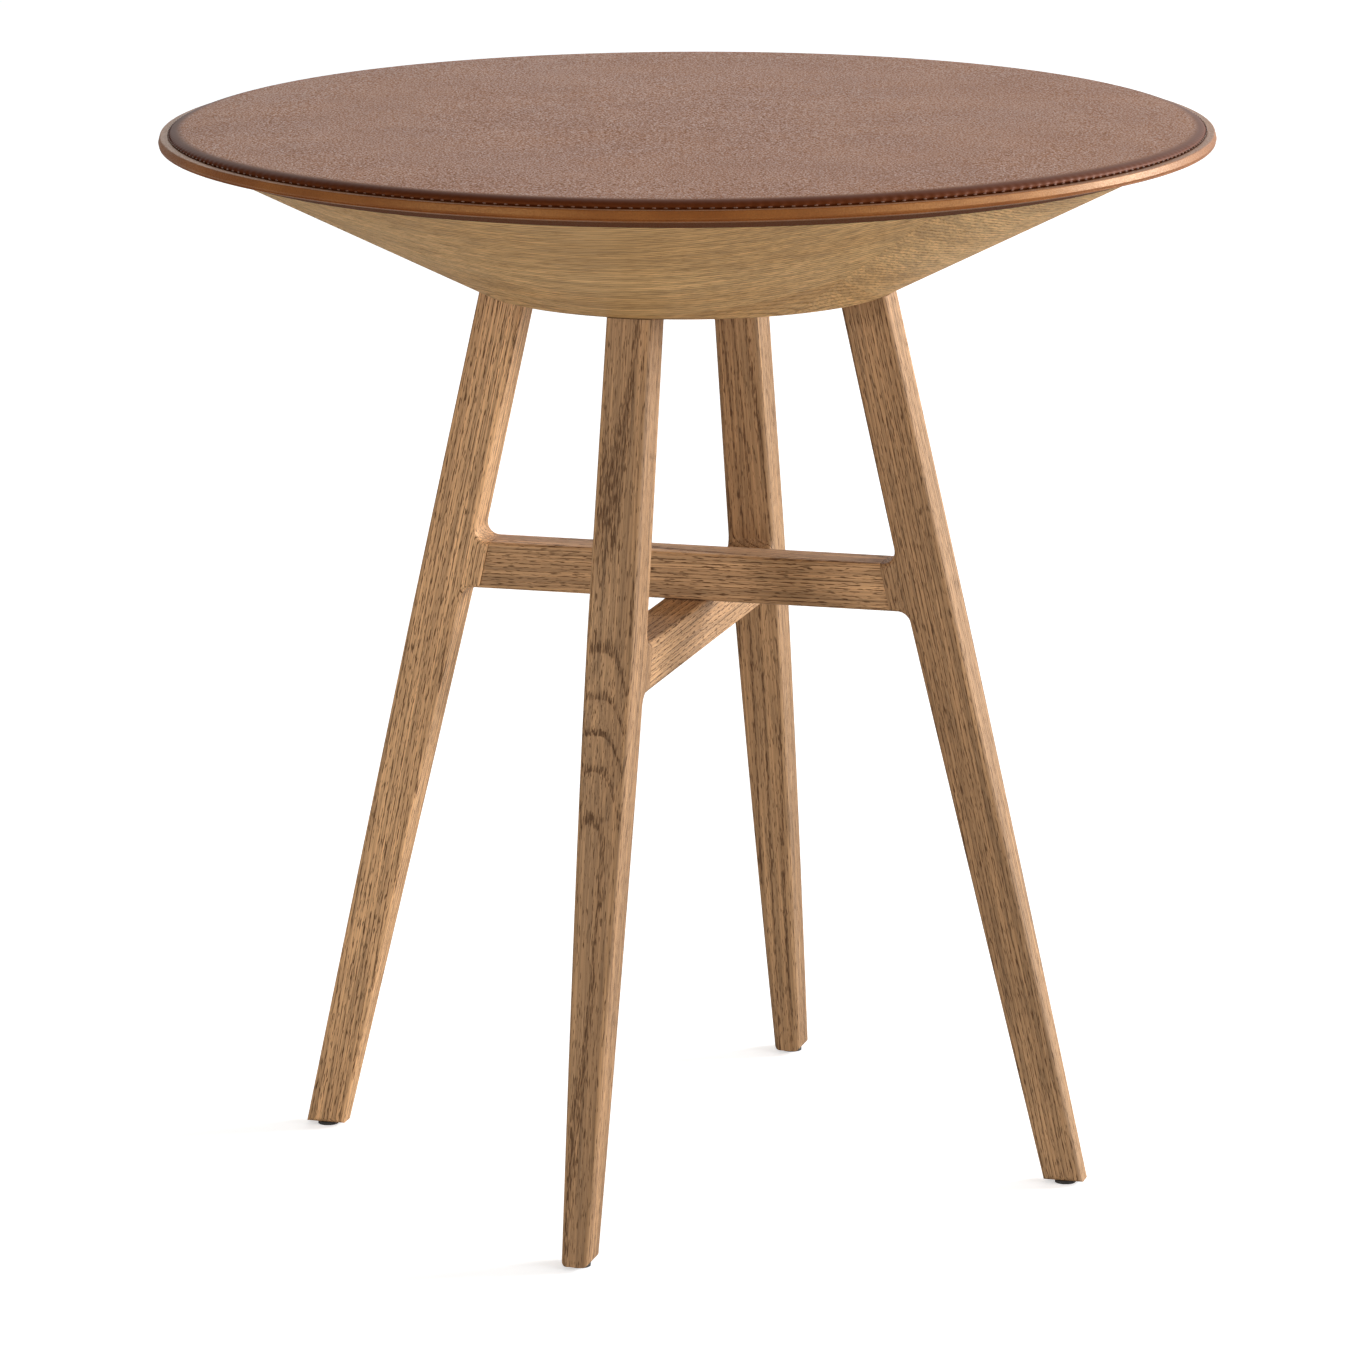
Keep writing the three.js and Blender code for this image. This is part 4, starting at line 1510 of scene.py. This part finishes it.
@dataclass
class Studio:
    """The floor, the lights and the camera. Sizes are in metres, angles in degrees."""

    focal_pixels: float = 6848.7  # of an image 1370 pixels wide
    image_width: float = 1370.0
    sensor: float = 36.0  # millimetres
    distance: float = 4.6363
    height: float = 1.4086
    azimuth: float = 16.062
    pitch: float = 13.004
    yaw: float = 0.039
    roll: float = 0.234
    floor_size: float = 60.0
    floor_seen: Colour = (0.93, 0.928, 0.922)
    floor_lit: Colour = (0.62, 0.61, 0.585)
    sky: Colour = (1.0, 0.995, 0.985)
    floor_glow: float = 0.5
    floor_roughness: float = 0.9
    wall_azimuth: float = 84.0
    wall_height: float = 0.15
    wall_span: tuple[float, float] = (0.5, 0.88)  # cosines from its middle, where it fades in
    wall_strength: float = 1.35
    front_strength: float = 0.22
    lamps: tuple[Lamp, ...] = (
        Lamp("Key", 34.0, 15.0, 9.0, (3.0, 3.0), 0.98, KEY_COLOUR),
        Lamp("Low key", -12.0, 13.0, 4.5, (3.8, 2.0), 0.6, KEY_COLOUR),
        Lamp("Fill", -117.0, 8.0, 9.0, (1.8, 1.8), 0.3),
    )

    def build(self) -> None:
        """Sets up the studio."""
        self.floor()
        self.world()
        for lamp in self.lamps:
            self.hang(lamp)
        self.camera()
        bpy.context.scene.view_settings.view_transform = "Standard"

    def floor(self) -> None:
        """Lays a plain pale floor."""
        bm = bmesh.new()
        bmesh.ops.create_grid(bm, x_segments=1, y_segments=1, size=self.floor_size / 2)
        mesh = bpy.data.meshes.new("studio_floor")
        bm.to_mesh(mesh)
        bm.free()
        material, graph, shader, _ = Finish("Studio floor").start()
        seen = graph.add("ShaderNodeLightPath").outputs["Is Camera Ray"]
        graph.link(graph.mix(seen, self.floor_lit, self.floor_seen), shader, "Base Color")
        glow = graph.mix(seen, (0.0, 0.0, 0.0), (self.floor_glow,) * 3)
        graph.link(glow, shader, "Emission Color")
        shader.inputs["Emission Strength"].default_value = 1.0
        shader.inputs["Roughness"].default_value = self.floor_roughness
        mesh.materials.append(material)
        floor = bpy.data.objects.new("studio_floor", mesh)
        bpy.context.scene.collection.objects.link(floor)

    def world(self) -> None:
        """Surrounds the table with soft light, bright behind it and dim in front."""
        world = bpy.data.worlds.new("Studio")
        world.use_nodes = True
        graph = Graph(world.node_tree)
        turn = math.radians(self.wall_azimuth)
        wall = Vector((math.cos(turn), math.sin(turn), self.wall_height)).normalized()
        way = graph.add("ShaderNodeTexCoord").outputs["Generated"]
        facing = graph.vector("DOT_PRODUCT", way, wall).outputs["Value"]
        strength = graph.span(facing, *self.wall_span, self.front_strength, self.wall_strength)
        background = world.node_tree.nodes["Background"]
        background.inputs["Color"].default_value = opaque(self.sky)
        graph.link(strength, background, "Strength")
        bpy.context.scene.world = world

    def hang(self, lamp: Lamp) -> None:
        """Hangs a lamp.

        Args:
            lamp: what it is and where it hangs.
        """
        light = bpy.data.lights.new(lamp.name, "AREA")
        light.energy = lamp.strength * (math.pi * lamp.distance) ** 2
        light.shape = "RECTANGLE"
        light.size, light.size_y = lamp.size
        light.color = lamp.colour
        turn, rise = math.radians(lamp.azimuth), math.radians(lamp.elevation)
        level = math.cos(rise)
        way = Vector((math.cos(turn) * level, math.sin(turn) * level, math.sin(rise)))
        made = bpy.data.objects.new(lamp.name, light)
        made.location = Vector((0, 0, CAD_BOX[1].z / 2)) + way * lamp.distance
        made.rotation_euler = way.to_track_quat("Z", "Y").to_euler()
        bpy.context.scene.collection.objects.link(made)

    def camera(self) -> None:
        """Stands the camera where the photograph was taken."""
        lens = bpy.data.cameras.new("Camera")
        lens.sensor_width = self.sensor
        lens.lens = self.focal_pixels * self.sensor / self.image_width
        made = bpy.data.objects.new("Camera", lens)
        turn = math.radians(self.azimuth)
        out, aside = self.distance * math.sin(turn), -self.distance * math.cos(turn)
        made.location = (out, aside, self.height)
        turned = Matrix.Rotation(turn + math.radians(self.yaw), 4, "Z")
        tipped = Matrix.Rotation(math.radians(90 - self.pitch), 4, "X")
        rolled = Matrix.Rotation(-math.radians(self.roll), 4, "Z")
        made.rotation_euler = (turned @ tipped @ rolled).to_euler()
        bpy.context.scene.collection.objects.link(made)
        bpy.context.scene.camera = made


def main() -> None:
    """Builds the table's pieces in order, then the studio."""
    logging.basicConfig(level=logging.INFO, format="%(relativeCreated)6d ms: %(message)s")
    workshop = Workshop()
    for assembly in (PaddedTop, OakCone, Understructure, Hardware):
        assembly(workshop).build()
    Studio().build()


if __name__ == "__main__":
    main()
